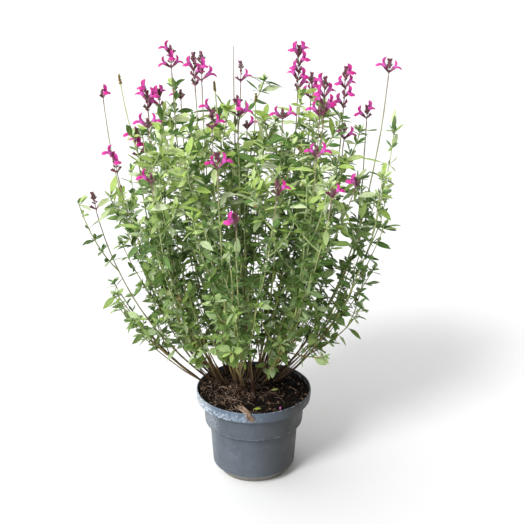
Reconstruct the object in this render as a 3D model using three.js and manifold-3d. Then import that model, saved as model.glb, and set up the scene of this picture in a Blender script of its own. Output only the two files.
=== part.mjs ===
// A shrubby perennial salvia in a nursery pot. Millimetres, +Z up.
// The origin is the middle of the pot's underside.
//
// The plant is a vase of square stems that stand in holes in the compost. Each basal shoot is one
// closed surface: its main stem is a tube, and side branches, twigs and opposite leaves rise out of
// openings in the tube's walls. Each raceme is a surface of the same kind, seated on its stem's end.
import * as THREE from "three";
import { mergeVertices } from "three/addons/utils/BufferGeometryUtils.js";
import Module from "manifold-3d";

const wasm = await Module();
wasm.setup();

// ---------------------------------------------------------------- driving dimensions

const SEAT = 0.3; // clearance between pieces that touch
const CLEARANCE = 0.45; // least room round a leaf
const SEED = 2024;

// What each repeatable draw decides.
const DRAW = {
  leafLift: 1,
  leafSwing: 2,
  leafLength: 3,
  leafArch: 4,
  leafRoll: 5,
  leafShare: 9,
  twigShare: 50,
  twigLength: 51,
  twigHeading: 52,
  shootTurn: 90,
};

const POT = {
  height: 148,
  rimRadius: 95,
  rimBand: 17.6, // height of the rolled band at the mouth
  shoulderTopRadius: 84,
  shoulderRadius: 80.9,
  shoulderDrop: 57, // from the mouth down to the shoulder's lower step
  bodyTopRadius: 73.1,
  bodyBaseRadius: 68.4,
  footHeight: 15.8,
  footRadius: 56,
  wall: 2,
  floor: 2.5,
  sides: 26,
  drainHoles: 6,
  drainRadius: 5.5,
  drainCircle: 43,
};

const COMPOST = { level: 140.5, mound: 3.5, moundRadius: 55, roughness: 1.1 };
const COMPOST_RINGS = [0.995, 0.74, 0.44, 0.18, 0]; // in radii of the mouth
const LUMPS = { alongX: 7.1, alongY: 6.3, diagonal: 4.7, phase: 1.3, diagonalShare: 0.6 };

const CROWN = { x: -16, y: 52, spreadX: 0.19, spreadY: 0.15, depth: 12 };

const STEM = {
  node: 50, // distance between leaf pairs on a main stem
  branchNode: 42,
  footRadius: 2.4,
  branchRadius: 1.35,
  twigRadius: 1,
  tipRadius: 0.85,
  reach: 0.85, // how far out a shoot leans before it turns up
  rise: 0.3,
  branchReach: 0.7,
  branchRise: 0.4,
};

// Openings in a wall: how far below its upper edge each one starts, and where its sides stand.
const SOCKET = { branch: 3, leaf: 2, flower: 1.6, from: 0.2, to: 0.8, deepest: 0.7 };

const LEAF = {
  shortest: 19,
  longest: 29,
  ratio: 0.52, // width to length
  upperRatio: 0.36,
  upperLevel: 520,
  petiole: 4,
  petioleRadius: 0.55,
  ridge: 1.1, // depth of the midrib below the blade
  lowestLevel: 205,
  lowestSideLevel: 158,
  share: 0.9, // of the places at the nodes that hold a leaf
  longSide: 27.5, // leaves longer than this have a stalk and a broad outer half
  shortRings: [[0.5, 0.5]], // distance in lengths and half-width in widths
  longRings: [[0.4, 0.48], [0.72, 0.42]],
  lift: [-5, 60], // degrees above the square to the stem
  swing: [-25, 25],
  roll: [-45, 45],
  arch: [0.05, 0.3], // drop of the tip in lengths
  poses: 4, // tried before a leaf is left out
};

// No twig reaches outside this oval.
const VASE = { x: -14, halfWidth: 228, halfDepth: 180 };

const TWIG = {
  chance: 0.27,
  shortest: 55,
  longest: 85,
  outwards: 0.55, // in lengths
  upwards: 0.8,
  reach: 0.75,
  rise: 0.4,
  nodes: 2,
  firstLevel: 190,
  lastLevel: 590,
};

const FLOWER = {
  calyx: 10,
  calyxRadius: 2.3,
  tube: 9,
  throatRadius: 2.5,
  hood: 7.5,
  hoodWidth: 2,
  lip: 9,
  lipWidth: 5.6,
  // Points as [forward, upward] from the throat, in lip or hood lengths.
  lipSides: [0.45, -0.5],
  lipKeel: [0.2, -0.75],
  lipTip: [0.55, -1.1],
  hoodSides: [0.6, 0.45],
  hoodBack: [0.25, 0.75],
  hoodTip: [0.75, 1],
};
const CALYX = { length: 9.5, radius: 2.2 };
const BUD = { length: 6.5, radius: 1.6 };
const BELLY = { distance: 0.6, sideRise: 0.5 }; // widest place of a calyx or bud
const TIPS = {
  bud: { length: 5 },
  needle: { length: 12 },
  spent: { length: 18, swelling: 2.2 },
  crown: { length: 7, swelling: 1.3 },
};
const SWELLING_AT = 0.4; // of a tip's length
const RACHIS = { radius: 0.95, tipRadius: 0.7, straight: 0.4, upright: 0.5, lowestLean: 48, topLean: 30 };

// ---------------------------------------------------------------- plan of the plant

// A raceme: one word per whorl from the lowest up, with a letter for each of its two sides.
// f is an open flower, c a calyx without its corolla, b a bud and - nothing. The first letter of the
// lowest whorl points to the compass angle turn, and each whorl stands a quarter turn from the last.
const raceme = (whorls, length, turn) => ({ whorls: whorls.split(" "), length, turn });

// Each basal shoot: where its main stem ends, how much of its top is bare of leaves, what it carries
// there, and the side branches, which leave the main stem at the fraction "from" of its length.
const SHOOTS = [
  {
    tip: [-230, 40, 618], bare: 165, head: raceme("cf b-", 14, 120),
    branches: [{ from: 0.55, tip: [-196, 70, 500], bare: 20 }],
  },
  {
    via: [-198, -22, 266],
    tip: [-238, -30, 456], bare: 200, head: raceme("cc cb b-", 34, 200),
    branches: [{ from: 0.7, tip: [-262, -55, 486], bare: 5 }],
  },
  {
    tip: [-176, 10, 526], bare: 25, head: raceme("cf ff fc bb", 54, 205),
    branches: [
      { from: 0.5, tip: [-199, -62, 525], bare: 30, head: raceme("cc ff fb", 32, 200) },
      { from: 0.12, tip: [-92, -18, 224], bare: 0 },
    ],
  },
  {
    tip: [-150, -80, 597], bare: 25, head: raceme("ff bb", 18, 190),
    branches: [{ from: 0.5, tip: [-142, -135, 531], bare: 20, head: raceme("fc bb", 18, 180) }],
  },
  {
    tip: [-155, -22, 609], bare: 20, head: raceme("cf ff fb", 34, 240),
    branches: [{ from: 0.7, tip: [-198, 5, 652], bare: 70, end: "spent" }],
  },
  {
    tip: [-128, 92, 650], bare: 60, head: raceme("ff ff fc bb", 40, 190),
    branches: [{ from: 0.6, tip: [-145, 66, 594], bare: 20, head: raceme("fc ff bb", 34, 160) }],
  },
  {
    tip: [-118, 138, 590], bare: 60, head: raceme("fc bb", 20, 170),
    branches: [{ from: 0.5, tip: [-172, 158, 520], bare: 10 }],
  },
  {
    tip: [-75, -15, 650], bare: 55, head: raceme("cf cf cc bb", 50, 200),
    branches: [{ from: 0.65, tip: [-89, 50, 632], bare: 45, head: raceme("cc cf fc cb bb", 54, 230) }],
  },
  {
    tip: [-58, -78, 594], bare: 35, head: raceme("cf cc fb", 34, 185),
    branches: [{ from: 0.6, tip: [-95, -100, 560], bare: 10 }],
  },
  {
    tip: [-48, -150, 557], bare: 30, head: raceme("ff cc bb", 28, 190),
    branches: [{ from: 0.5, tip: [-84, -168, 500], bare: 10 }],
  },
  {
    tip: [-30, 58, 700], bare: 120, end: "needle",
    branches: [{ from: 0.6, tip: [-20, 84, 627], bare: 45, head: raceme("cf bb b-", 40, 180) }],
  },
  {
    foot: [3, -12], girth: 1.5,
    tip: [-22, -32, 604], bare: 35, head: raceme("cf cf cc bb", 34, 190),
    branches: [{ from: 0.6, tip: [-57, 12, 640], bare: 50, end: "spent" }],
  },
  {
    tip: [-11, 128, 545], bare: 30, head: raceme("cf b-", 16, 200),
    branches: [{ from: 0.55, tip: [4, 60, 612], bare: 50, end: "spent" }],
  },
  {
    tip: [69, 58, 622], bare: 45, head: raceme("cf ff fc cf ff bb", 74, 225),
    branches: [{ from: 0.5, tip: [36, 104, 560], bare: 10 }],
  },
  {
    tip: [92, 120, 594], bare: 45, head: raceme("fc cf cb bb", 48, 215),
    branches: [{ from: 0.5, tip: [104, 172, 520], bare: 10 }],
  },
  {
    tip: [106, 0, 594], bare: 40, head: raceme("cf ff ff fc bb", 66, 225),
    branches: [{ from: 0.5, tip: [74, -46, 560], bare: 10 }],
  },
  {
    tip: [139, 42, 597], bare: 50, head: raceme("fc cf ff cf bb", 70, 215),
    branches: [{ from: 0.6, tip: [146, 112, 530], bare: 30, head: raceme("ff cc b-", 30, 200) }],
  },
  {
    tip: [97, -64, 611], bare: 40, head: raceme("fc bb", 18, 180),
    branches: [
      { from: 0.5, tip: [147, -104, 519], bare: 25, head: raceme("fc b-", 16, 215) },
      { from: 0.16, tip: [112, -62, 232], bare: 0 },
    ],
  },
  {
    tip: [90, -126, 563], bare: 30, head: raceme("ff bb", 24, 185),
    branches: [{ from: 0.5, tip: [110, -172, 525], bare: 25, head: raceme("cf b-", 14, 190) }],
  },
  {
    tip: [44, -24, 596], bare: 30, head: raceme("ff bb", 20, 185),
    branches: [
      { from: 0.5, tip: [34, -92, 540], bare: 10 },
      { from: 0.08, tip: [30, -34, 206], bare: 0 },
    ],
  },
  {
    tip: [207, 44, 654], bare: 190, head: raceme("ff bb bb", 24, 180),
    branches: [{ from: 0.5, tip: [182, 104, 568], bare: 85, head: raceme("fc cf b-", 24, 200) }],
  },
  {
    tip: [210, -36, 590], bare: 0,
    branches: [
      { from: 0.55, tip: [206, 6, 470], bare: 10 },
      { from: 0.24, tip: [170, -18, 296], bare: 0 },
    ],
  },
  {
    tip: [-22, -186, 488], bare: 35, head: raceme("fc cb b-", 22, 230),
    branches: [{ from: 0.45, tip: [34, -152, 520], bare: 30, head: raceme("cf cb b-", 26, 200) }],
  },
  {
    foot: [-64, 24], via: [-146, 16, 188],
    tip: [-214, -26, 322], bare: 0,
    branches: [{ from: 0.55, tip: [-176, -70, 300], bare: 0 }],
  },
];

// Fallen leaves on the compost: centre, heading in degrees and length.
const FALLEN_LEAVES = [
  { at: [34, -3], heading: 20, length: 15 },
  { at: [6, -66], heading: 5, length: 13 },
];
// Its outline as [distance, half-width], its midrib and its raised ends.
const FALLEN_BLADE = { stalk: -0.5, broad: [[-0.15, 0.21], [0.22, 0.19]], tip: 0.5, ridge: 1, curl: 0.2 };

// A tuft of root fibre that hangs over the rim at the front.
const TUFT = { x: -5, width: 8, thickness: 1.4, inside: 5, dip: 4, slope: 0.6, outside: 14, taper: 3 };

// ---------------------------------------------------------------- helpers

const vec = (x, y, z) => new THREE.Vector3(x, y, z);
const radians = THREE.MathUtils.degToRad;
const mix = THREE.MathUtils.lerp;
const UP = vec(0, 0, 1);

/** A repeatable draw between 0 and 1 for a list of whole numbers. */
function draw(...keys) {
  let hash = SEED;
  for (const key of keys) {
    hash = Math.imul(hash ^ (key + 1), 0x9e3779b1);
    hash ^= hash >>> 15;
  }
  hash = Math.imul(hash, 0x85ebca6b);
  hash ^= hash >>> 13;
  return (hash >>> 0) / 2 ** 32;
}

/** A closed geometry as a solid, for joining, cutting and measuring gaps. */
function solidOf(geometry) {
  const bare = geometry.clone();
  bare.deleteAttribute("normal");
  bare.deleteAttribute("uv");
  const merged = mergeVertices(bare, 1e-4);
  return new wasm.Manifold(
    new wasm.Mesh({
      numProp: 3,
      vertProperties: new Float32Array(merged.attributes.position.array),
      triVerts: new Uint32Array(merged.index.array),
    }),
  );
}

/** A solid as a geometry with flat facets. */
function geometryOf(solid) {
  const mesh = solid.getMesh();
  const geometry = new THREE.BufferGeometry();
  geometry.setAttribute("position", new THREE.BufferAttribute(mesh.vertProperties, 3));
  geometry.setIndex(new THREE.BufferAttribute(mesh.triVerts, 1));
  return geometry;
}

/** A turned shape about Z from [radius, height] pairs. */
function turned(profile, sides) {
  const points = profile.map(([radius, height]) => new THREE.Vector2(radius, height));
  return new THREE.LatheGeometry(points, sides).rotateX(Math.PI / 2);
}

/** A closed triangle surface. Rings run anticlockwise as seen from the end that is still open. */
class Surface {
  points = [];
  faces = [];

  ring(corners) {
    return corners.map((corner) => this.points.push(corner.clone()) - 1);
  }

  /** Faces that fan out from the first corner. */
  fan(ring) {
    for (let i = 1; i < ring.length - 1; i++) this.faces.push([ring[0], ring[i], ring[i + 1]]);
  }

  /** The wall between two rings with the same number of corners. Each of its panes is folded
   *  outwards, so that the walls of a thin twisted blade stay clear of each other. */
  bridge(lower, upper) {
    lower.forEach((a, i) => {
      const next = (i + 1) % lower.length;
      const [b, c, d] = [lower[next], upper[next], upper[i]];
      const [pa, pb, pc, pd] = [a, b, c, d].map((index) => this.points[index]);
      const outward = pb.clone().sub(pa).cross(pc.clone().sub(pa));
      if (pd.clone().sub(pa).dot(outward) <= 0) this.faces.push([a, b, c], [a, c, d]);
      else this.faces.push([a, b, d], [b, c, d]);
    });
  }

  /** A pointed end. */
  point(ring, tip) {
    const [apex] = this.ring([tip]);
    ring.forEach((corner, i) => this.faces.push([corner, ring[(i + 1) % ring.length], apex]));
  }

  geometry() {
    const geometry = new THREE.BufferGeometry();
    const coordinates = this.points.flatMap((point) => point.toArray());
    geometry.setAttribute("position", new THREE.Float32BufferAttribute(coordinates, 3));
    geometry.setIndex(this.faces.flat());
    return geometry;
  }
}

// ---------------------------------------------------------------- stems

/** Centre, direction and cross axes at evenly spaced nodes of a curve. */
function stationsAlong(curve, count, firstRight) {
  const stations = [];
  let right = firstRight;
  for (let i = 0; i <= count; i++) {
    const along = curve.getTangentAt(i / count).normalize();
    right = right.clone().addScaledVector(along, -right.dot(along)).normalize();
    const up = along.clone().cross(right);
    stations.push({ centre: curve.getPointAt(i / count), along, right, up });
  }
  return stations;
}

/** The four corners of a square stem at a station. */
function corners({ centre, right, up }, radius) {
  return [-135, -45, 45, 135].map((angle) =>
    centre
      .clone()
      .addScaledVector(right, radius * Math.cos(radians(angle)))
      .addScaledVector(up, radius * Math.sin(radians(angle))),
  );
}

/** The outward direction of each of a stem's four sides. */
function sideDirections({ right, up }) {
  return [up.clone().negate(), right.clone(), up.clone(), right.clone().negate()];
}

/** The side of a stem that looks most nearly along a direction. */
function sideFacing(station, direction) {
  const match = sideDirections(station).map((side) => side.dot(direction));
  return match.indexOf(Math.max(...match));
}

/** The four corners of one wall between two rings: two lower ones, then two upper ones. */
function wallOf(lower, upper, side) {
  const next = (side + 1) % 4;
  return [lower[side], lower[next], upper[next], upper[side]];
}

/** A point on a wall, "drop" below its upper edge and "across" from its left side. */
function onWall(surface, [a, b, c, d], drop, across) {
  const [pa, pb, pc, pd] = [a, b, c, d].map((index) => surface.points[index]);
  const top = pd.clone().lerp(pc, across);
  const bottom = pa.clone().lerp(pb, across);
  return top.lerp(bottom, Math.min(SOCKET.deepest, drop / top.distanceTo(bottom)));
}

/** Opens a three-cornered hole at the top of a wall and returns its ring. */
function openForLeaf(surface, wall, drop) {
  const [a, b, c, d] = wall;
  const [m] = surface.ring([onWall(surface, wall, drop, 0.5)]);
  surface.faces.push([a, b, m], [b, c, m], [a, m, d]);
  return [d, m, c];
}

/** Opens a four-cornered hole at the top of a wall and returns its ring. */
function openForBranch(surface, wall, drop) {
  const [a, b, c, d] = wall;
  const [p, q] = surface.ring([SOCKET.from, SOCKET.to].map((across) => onWall(surface, wall, drop, across)));
  surface.faces.push([a, b, q], [a, q, p], [b, c, q], [a, p, d]);
  return [p, q, c, d];
}

/** The plan of one stem: its curve, nodes, thickness and what it carries. */
function planStem(curve, { keys, spacing, radius, tipRadius, bare, head, end, firstRight }) {
  const length = curve.getLength();
  const count = Math.max(2, Math.round(length / spacing));
  const stations = stationsAlong(curve, count, firstRight);
  stations.forEach((station, i) => {
    station.radius = mix(radius, tipRadius, Math.sqrt(i / count));
    station.left = length * (1 - i / count);
  });
  return { keys, curve, count, stations, bare, head, end, offshoots: new Map() };
}

/** A curve that leaves its start outwards and turns up to its tip. */
function risingCurve(start, tip, reach, rise) {
  const via = vec(mix(start.x, tip.x, reach), mix(start.y, tip.y, reach), mix(start.z, tip.z, rise));
  return new THREE.QuadraticBezierCurve3(start, via, tip);
}

/** Hangs a side stem on a node of its parent, and gives it its first cross axis. */
function addOffshoot(parent, node, curve, options) {
  const station = parent.stations[node];
  const side = sideFacing(station, curve.getTangentAt(0));
  if (!parent.offshoots.has(node)) parent.offshoots.set(node, new Map());
  if (parent.offshoots.get(node).has(side)) return undefined;
  const sides = sideDirections(station);
  const stem = planStem(curve, { ...options, firstRight: sides[(side + 1) % 4] });
  parent.offshoots.get(node).set(side, stem);
  return stem;
}

/** The tube of one stem on its own. */
function tubeOf(stem) {
  const surface = new Surface();
  const rings = stem.stations.map((station) => surface.ring(corners(station, station.radius)));
  surface.fan([...rings[0]].reverse());
  rings.slice(1).forEach((ring, i) => surface.bridge(rings[i], ring));
  surface.fan(rings.at(-1));
  return solidOf(surface.geometry());
}

function planShoot(shoot, index) {
  const level = COMPOST.level - CROWN.depth;
  const tip = vec(...shoot.tip);
  const foot = shoot.foot
    ? vec(...shoot.foot, level)
    : vec(
        CROWN.x + CROWN.spreadX * (tip.x - CROWN.x),
        CROWN.y + CROWN.spreadY * (tip.y - CROWN.y),
        level,
      );
  const curve = shoot.via
    ? new THREE.QuadraticBezierCurve3(foot, vec(...shoot.via), tip)
    : risingCurve(foot, tip, STEM.reach, STEM.rise);
  const turn = 2 * Math.PI * draw(index, DRAW.shootTurn);
  const main = planStem(curve, {
    keys: [index, 0],
    spacing: STEM.node,
    radius: STEM.footRadius * (shoot.girth ?? 1),
    tipRadius: STEM.tipRadius,
    bare: shoot.bare,
    head: shoot.head,
    end: shoot.end,
    firstRight: vec(Math.cos(turn), Math.sin(turn), 0.2),
  });
  shoot.branches.forEach((branch, i) => {
    const node = Math.round(branch.from * main.count);
    const start = main.stations[node].centre;
    addOffshoot(main, node, risingCurve(start, vec(...branch.tip), STEM.branchReach, STEM.branchRise), {
      keys: [index, i + 1],
      spacing: STEM.branchNode,
      radius: STEM.branchRadius,
      tipRadius: STEM.tipRadius,
      bare: branch.bare,
      head: branch.head,
      end: branch.end,
    });
  });
  return main;
}

/** Every stem of a shoot, from the main stem out. */
function stemsOf(stem) {
  const below = [...stem.offshoots.values()].flatMap((sides) => [...sides.values()]);
  return [stem, ...below.flatMap(stemsOf)];
}

// ---------------------------------------------------------------- free room

const occupied = []; // { solid, box } of every piece of the plant placed so far

function occupy(solid, owner) {
  const { min, max } = solid.boundingBox();
  const box = new THREE.Box3(vec(...min), vec(...max)).expandByScalar(CLEARANCE);
  occupied.push({ solid, box, owner });
}

function isClear(solid, except) {
  const { min, max } = solid.boundingBox();
  const box = new THREE.Box3(vec(...min), vec(...max));
  return occupied.every(
    (other) =>
      other.owner === except ||
      !other.box.intersectsBox(box) ||
      solid.minGap(other.solid, CLEARANCE) >= CLEARANCE,
  );
}

// ---------------------------------------------------------------- twigs

/** Short leafy twigs in the leaf axils, where there is room for them. */
function addTwigs(main) {
  for (const stem of stemsOf(main)) {
    for (let node = 2; node < stem.count; node++) {
      const station = stem.stations[node];
      const { z } = station.centre;
      if (z < TWIG.firstLevel || z > TWIG.lastLevel || station.left < stem.bare) continue;
      if (draw(...stem.keys, node, DRAW.twigShare) > TWIG.chance) continue;
      const length = mix(TWIG.shortest, TWIG.longest, draw(...stem.keys, node, DRAW.twigLength));
      const heading = 2 * Math.PI * draw(...stem.keys, node, DRAW.twigHeading);
      const away = vec(TWIG.outwards * Math.cos(heading), TWIG.outwards * Math.sin(heading), TWIG.upwards);
      const tip = station.centre.clone().addScaledVector(away, length);
      const curve = risingCurve(station.centre, tip, TWIG.reach, TWIG.rise);
      if (Math.hypot((tip.x - VASE.x) / VASE.halfWidth, tip.y / VASE.halfDepth) > 1) continue;
      const twig = addOffshoot(stem, node, curve, {
        keys: [...stem.keys, node],
        spacing: length / TWIG.nodes,
        radius: STEM.twigRadius,
        tipRadius: STEM.tipRadius,
        bare: 0,
      });
      if (!twig) continue;
      const solid = tubeOf(twig);
      if (isClear(solid, stem)) {
        occupy(solid, twig);
      } else {
        const sides = stem.offshoots.get(node);
        for (const [side, offshoot] of sides) if (offshoot === twig) sides.delete(side);
      }
    }
  }
}

// ---------------------------------------------------------------- leaves

/** The rings of a leaf: edge, midrib and edge, from its root out, and its tip. */
function leafRings({ root, out, right, up }, { length, width, arch, roll }) {
  const sideways = right.clone().applyAxisAngle(out, roll);
  const face = up.clone().applyAxisAngle(out, roll);
  const at = (distance) =>
    root
      .clone()
      .addScaledVector(out, distance)
      .addScaledVector(UP, -arch * (distance / length) ** 2 * length);
  const section = (distance, half, ridge) => {
    const middle = at(distance);
    return [
      middle.clone().addScaledVector(sideways, -half),
      middle.clone().addScaledVector(face, -ridge),
      middle.clone().addScaledVector(sideways, half),
    ];
  };
  const stalk = section(LEAF.petiole, LEAF.petioleRadius, 2 * LEAF.petioleRadius);
  const across = ([share, half]) => section(share * length, half * width, LEAF.ridge);
  return {
    root: section(SEAT, LEAF.petioleRadius, 2 * LEAF.petioleRadius),
    rings:
      length > LEAF.longSide ? [stalk, ...LEAF.longRings.map(across)] : LEAF.shortRings.map(across),
    tip: at(length),
  };
}

/** A solid through a leaf's rings. */
function bladeSolid(rings, tip) {
  const surface = new Surface();
  const placed = rings.map((ring) => surface.ring(ring));
  surface.fan([...placed[0]].reverse());
  placed.slice(1).forEach((ring, i) => surface.bridge(placed[i], ring));
  surface.point(placed.at(-1), tip);
  return solidOf(surface.geometry());
}

/** Where a leaf on one side of a node starts, and how it is turned. */
function leafFrame(station, side, keys, attempt) {
  const outward = sideDirections(station)[side];
  const sideways = sideDirections(station)[(side + 1) % 4];
  const lift = radians(mix(...LEAF.lift, draw(...keys, side, DRAW.leafLift, attempt)));
  const swing = radians(mix(...LEAF.swing, draw(...keys, side, DRAW.leafSwing, attempt)));
  const out = outward
    .clone()
    .multiplyScalar(Math.cos(lift))
    .addScaledVector(station.along, Math.sin(lift))
    .applyAxisAngle(station.along, swing)
    .normalize();
  const right = sideways.addScaledVector(out, -sideways.dot(out)).normalize();
  const root = station.centre.clone().addScaledVector(outward, station.radius * Math.SQRT1_2);
  return { root, out, right, up: out.clone().cross(right) };
}

/** The first of a few poses of a leaf that has room, or nothing. */
function placeLeaf(stem, station, side, keys) {
  const high = station.centre.z > LEAF.upperLevel;
  for (let attempt = 0; attempt < LEAF.poses; attempt++) {
    const frame = leafFrame(station, side, keys, attempt);
    const length = mix(LEAF.shortest, LEAF.longest, draw(...keys, side, DRAW.leafLength));
    const leaf = leafRings(frame, {
      length,
      width: length * (high ? LEAF.upperRatio : LEAF.ratio),
      arch: mix(...LEAF.arch, draw(...keys, side, DRAW.leafArch)),
      roll: radians(mix(...LEAF.roll, draw(...keys, side, DRAW.leafRoll, attempt))),
    });
    const whole = bladeSolid([leaf.root, ...leaf.rings], leaf.tip);
    const blade = bladeSolid(leaf.rings, leaf.tip);
    if (!isClear(whole, stem) || !isClear(blade)) continue;
    occupy(whole, leaf);
    return leaf;
  }
  return undefined;
}

function growLeaf(surface, socket, { rings, tip }) {
  let last = socket;
  for (const ring of rings) {
    const placed = surface.ring(ring);
    surface.bridge(last, placed);
    last = placed;
  }
  surface.point(last, tip);
}

// ---------------------------------------------------------------- shoots as surfaces

/** Leaves stand in pairs, each pair a quarter turn from the last. */
function leafSides(node) {
  return node % 2 ? [1, 3] : [0, 2];
}

function planLeaves(stem) {
  stem.leaves = new Map();
  stem.stations.forEach((station, node) => {
    const lowest = stem.keys[1] === 0 ? LEAF.lowestLevel : LEAF.lowestSideLevel;
    if (node === 0 || station.left < stem.bare || station.centre.z < lowest) return;
    for (const side of leafSides(node)) {
      if (stem.offshoots.get(node)?.has(side)) continue;
      if (draw(...stem.keys, node, side, DRAW.leafShare) > LEAF.share) continue;
      const leaf = placeLeaf(stem, station, side, [...stem.keys, node]);
      if (leaf) stem.leaves.set(4 * node + side, leaf);
    }
  });
}

function growStem(surface, stem, socket) {
  const rings = stem.stations.map((station, i) =>
    i === 0 && socket ? socket : surface.ring(corners(station, station.radius)),
  );
  if (!socket) surface.fan([...rings[0]].reverse());
  for (let node = 1; node < rings.length; node++) {
    for (let side = 0; side < 4; side++) {
      const wall = wallOf(rings[node - 1], rings[node], side);
      const offshoot = stem.offshoots.get(node)?.get(side);
      const leaf = stem.leaves.get(4 * node + side);
      if (offshoot) growStem(surface, offshoot, openForBranch(surface, wall, SOCKET.branch));
      else if (leaf) growLeaf(surface, openForLeaf(surface, wall, SOCKET.leaf), leaf);
      else surface.fan(wall);
    }
  }
  if (stem.head) surface.fan(rings.at(-1));
  else closeStem(surface, rings.at(-1), stem.stations.at(-1), TIPS[stem.end ?? "bud"]);
}

/** Ends a stem in a point, swollen where it is an old flower head. */
function closeStem(surface, ring, station, { swelling, length }) {
  const along = (distance) => station.centre.clone().addScaledVector(station.along, distance);
  let last = ring;
  if (swelling) {
    last = surface.ring(corners({ ...station, centre: along(SWELLING_AT * length) }, swelling));
    surface.bridge(ring, last);
  }
  surface.point(last, along(length));
}

// ---------------------------------------------------------------- racemes

/** Cross axes for something that leaves a stem's side and heads "out". */
function sideFrame(station, side, out) {
  const sides = sideDirections(station);
  const sideways = sides[(side + 1) % 4];
  const right = sideways.clone().addScaledVector(out, -sideways.dot(out)).normalize();
  const root = station.centre.clone().addScaledVector(sides[side], station.radius * Math.SQRT1_2);
  return { root, out, right, up: out.clone().cross(right) };
}

const place = ({ root, out, right, up }, forward, sideways, upwards) =>
  root
    .clone()
    .addScaledVector(out, forward)
    .addScaledVector(right, sideways)
    .addScaledVector(up, upwards);

/** A closed calyx or bud: a three-sided spindle. */
function growSpindle(surface, socket, frame, { length, radius }) {
  const widest = BELLY.distance * length;
  const belly = surface.ring([
    place(frame, widest, -radius, BELLY.sideRise * radius),
    place(frame, widest, 0, -radius),
    place(frame, widest, radius, BELLY.sideRise * radius),
  ]);
  surface.bridge(socket, belly);
  surface.point(belly, place(frame, length, 0, 0));
}

/** An open flower: calyx, tube, an upright hood and a spreading lower lip. */
function growFlower(surface, socket, frame) {
  const { calyx, calyxRadius, tube, throatRadius, hood, hoodWidth, lip, lipWidth } = FLOWER;
  const [d, m, c] = socket;
  const end = calyx + tube;
  const fromThroat = (size, [forward, upward], sideways) =>
    place(frame, end + size * forward, sideways, size * upward);
  const diamond = (distance, radius) => [
    place(frame, distance, -radius, 0),
    place(frame, distance, 0, -radius),
    place(frame, distance, radius, 0),
    place(frame, distance, 0, radius),
  ];
  const mouth = surface.ring(diamond(calyx, calyxRadius));
  const [left, bottom, right, top] = mouth;
  surface.faces.push([d, m, bottom], [d, bottom, left], [m, c, right], [m, right, bottom]);
  surface.faces.push([c, d, top], [c, top, right], [d, left, top]);

  const throat = surface.ring(diamond(end, throatRadius));
  surface.bridge(mouth, throat);

  const lipRing = surface.ring([
    fromThroat(lip, FLOWER.lipSides, -lipWidth),
    fromThroat(lip, FLOWER.lipKeel, 0),
    fromThroat(lip, FLOWER.lipSides, lipWidth),
  ]);
  surface.bridge([throat[0], throat[1], throat[2]], lipRing);
  surface.point(lipRing, fromThroat(lip, FLOWER.lipTip, 0));

  const hoodRing = surface.ring([
    fromThroat(hood, FLOWER.hoodSides, -hoodWidth),
    fromThroat(hood, FLOWER.hoodSides, hoodWidth),
    fromThroat(hood, FLOWER.hoodBack, 0),
  ]);
  surface.bridge([throat[0], throat[2], throat[3]], hoodRing);
  surface.point(hoodRing, fromThroat(hood, FLOWER.hoodTip, 0));
}

/** The rachis of a raceme, which carries on from its stem and turns upright. */
function planRaceme(stem) {
  const end = stem.stations.at(-1);
  const { whorls, length, turn } = stem.head;
  const start = end.centre.clone().addScaledVector(end.along, SEAT);
  const upright = end.along.clone().lerp(UP, RACHIS.upright).normalize();
  const via = start.clone().addScaledVector(end.along, RACHIS.straight * length);
  const tip = via.clone().addScaledVector(upright, (1 - RACHIS.straight) * length);
  const curve = new THREE.QuadraticBezierCurve3(start, via, tip);
  const heading = vec(Math.cos(radians(turn)), Math.sin(radians(turn)), 0);
  const stations = stationsAlong(curve, whorls.length, heading.cross(end.along));
  stations.forEach((station, i) => {
    station.radius = mix(RACHIS.radius, RACHIS.tipRadius, i / whorls.length);
  });
  return stations;
}

/** The two sides of a whorl: the first stands at the raceme's heading on the lowest whorl. */
function whorlSides(node) {
  return node % 2 ? [2, 0] : [1, 3];
}

function racemeSurface(stem) {
  const { whorls } = stem.head;
  const stations = planRaceme(stem);
  const surface = new Surface();
  const rings = stations.map((station) => surface.ring(corners(station, station.radius)));
  surface.fan([...rings[0]].reverse());
  for (let node = 1; node < rings.length; node++) {
    const station = stations[node];
    const sides = whorlSides(node);
    const lean = radians(mix(RACHIS.lowestLean, RACHIS.topLean, node / whorls.length));
    for (let side = 0; side < 4; side++) {
      const wall = wallOf(rings[node - 1], rings[node], side);
      const kind = sides.includes(side) ? whorls[node - 1][sides.indexOf(side)] : "-";
      if (kind === "-") {
        surface.fan(wall);
        continue;
      }
      const socket = openForLeaf(surface, wall, SOCKET.flower);
      const out = sideDirections(station)
        [side].multiplyScalar(Math.sin(lean))
        .addScaledVector(station.along, Math.cos(lean));
      const frame = sideFrame(station, side, out);
      if (kind === "f") growFlower(surface, socket, frame);
      else growSpindle(surface, socket, frame, kind === "c" ? CALYX : BUD);
    }
  }
  closeStem(surface, rings.at(-1), stations.at(-1), TIPS.crown);
  return surface;
}

// ---------------------------------------------------------------- pot and compost

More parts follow.
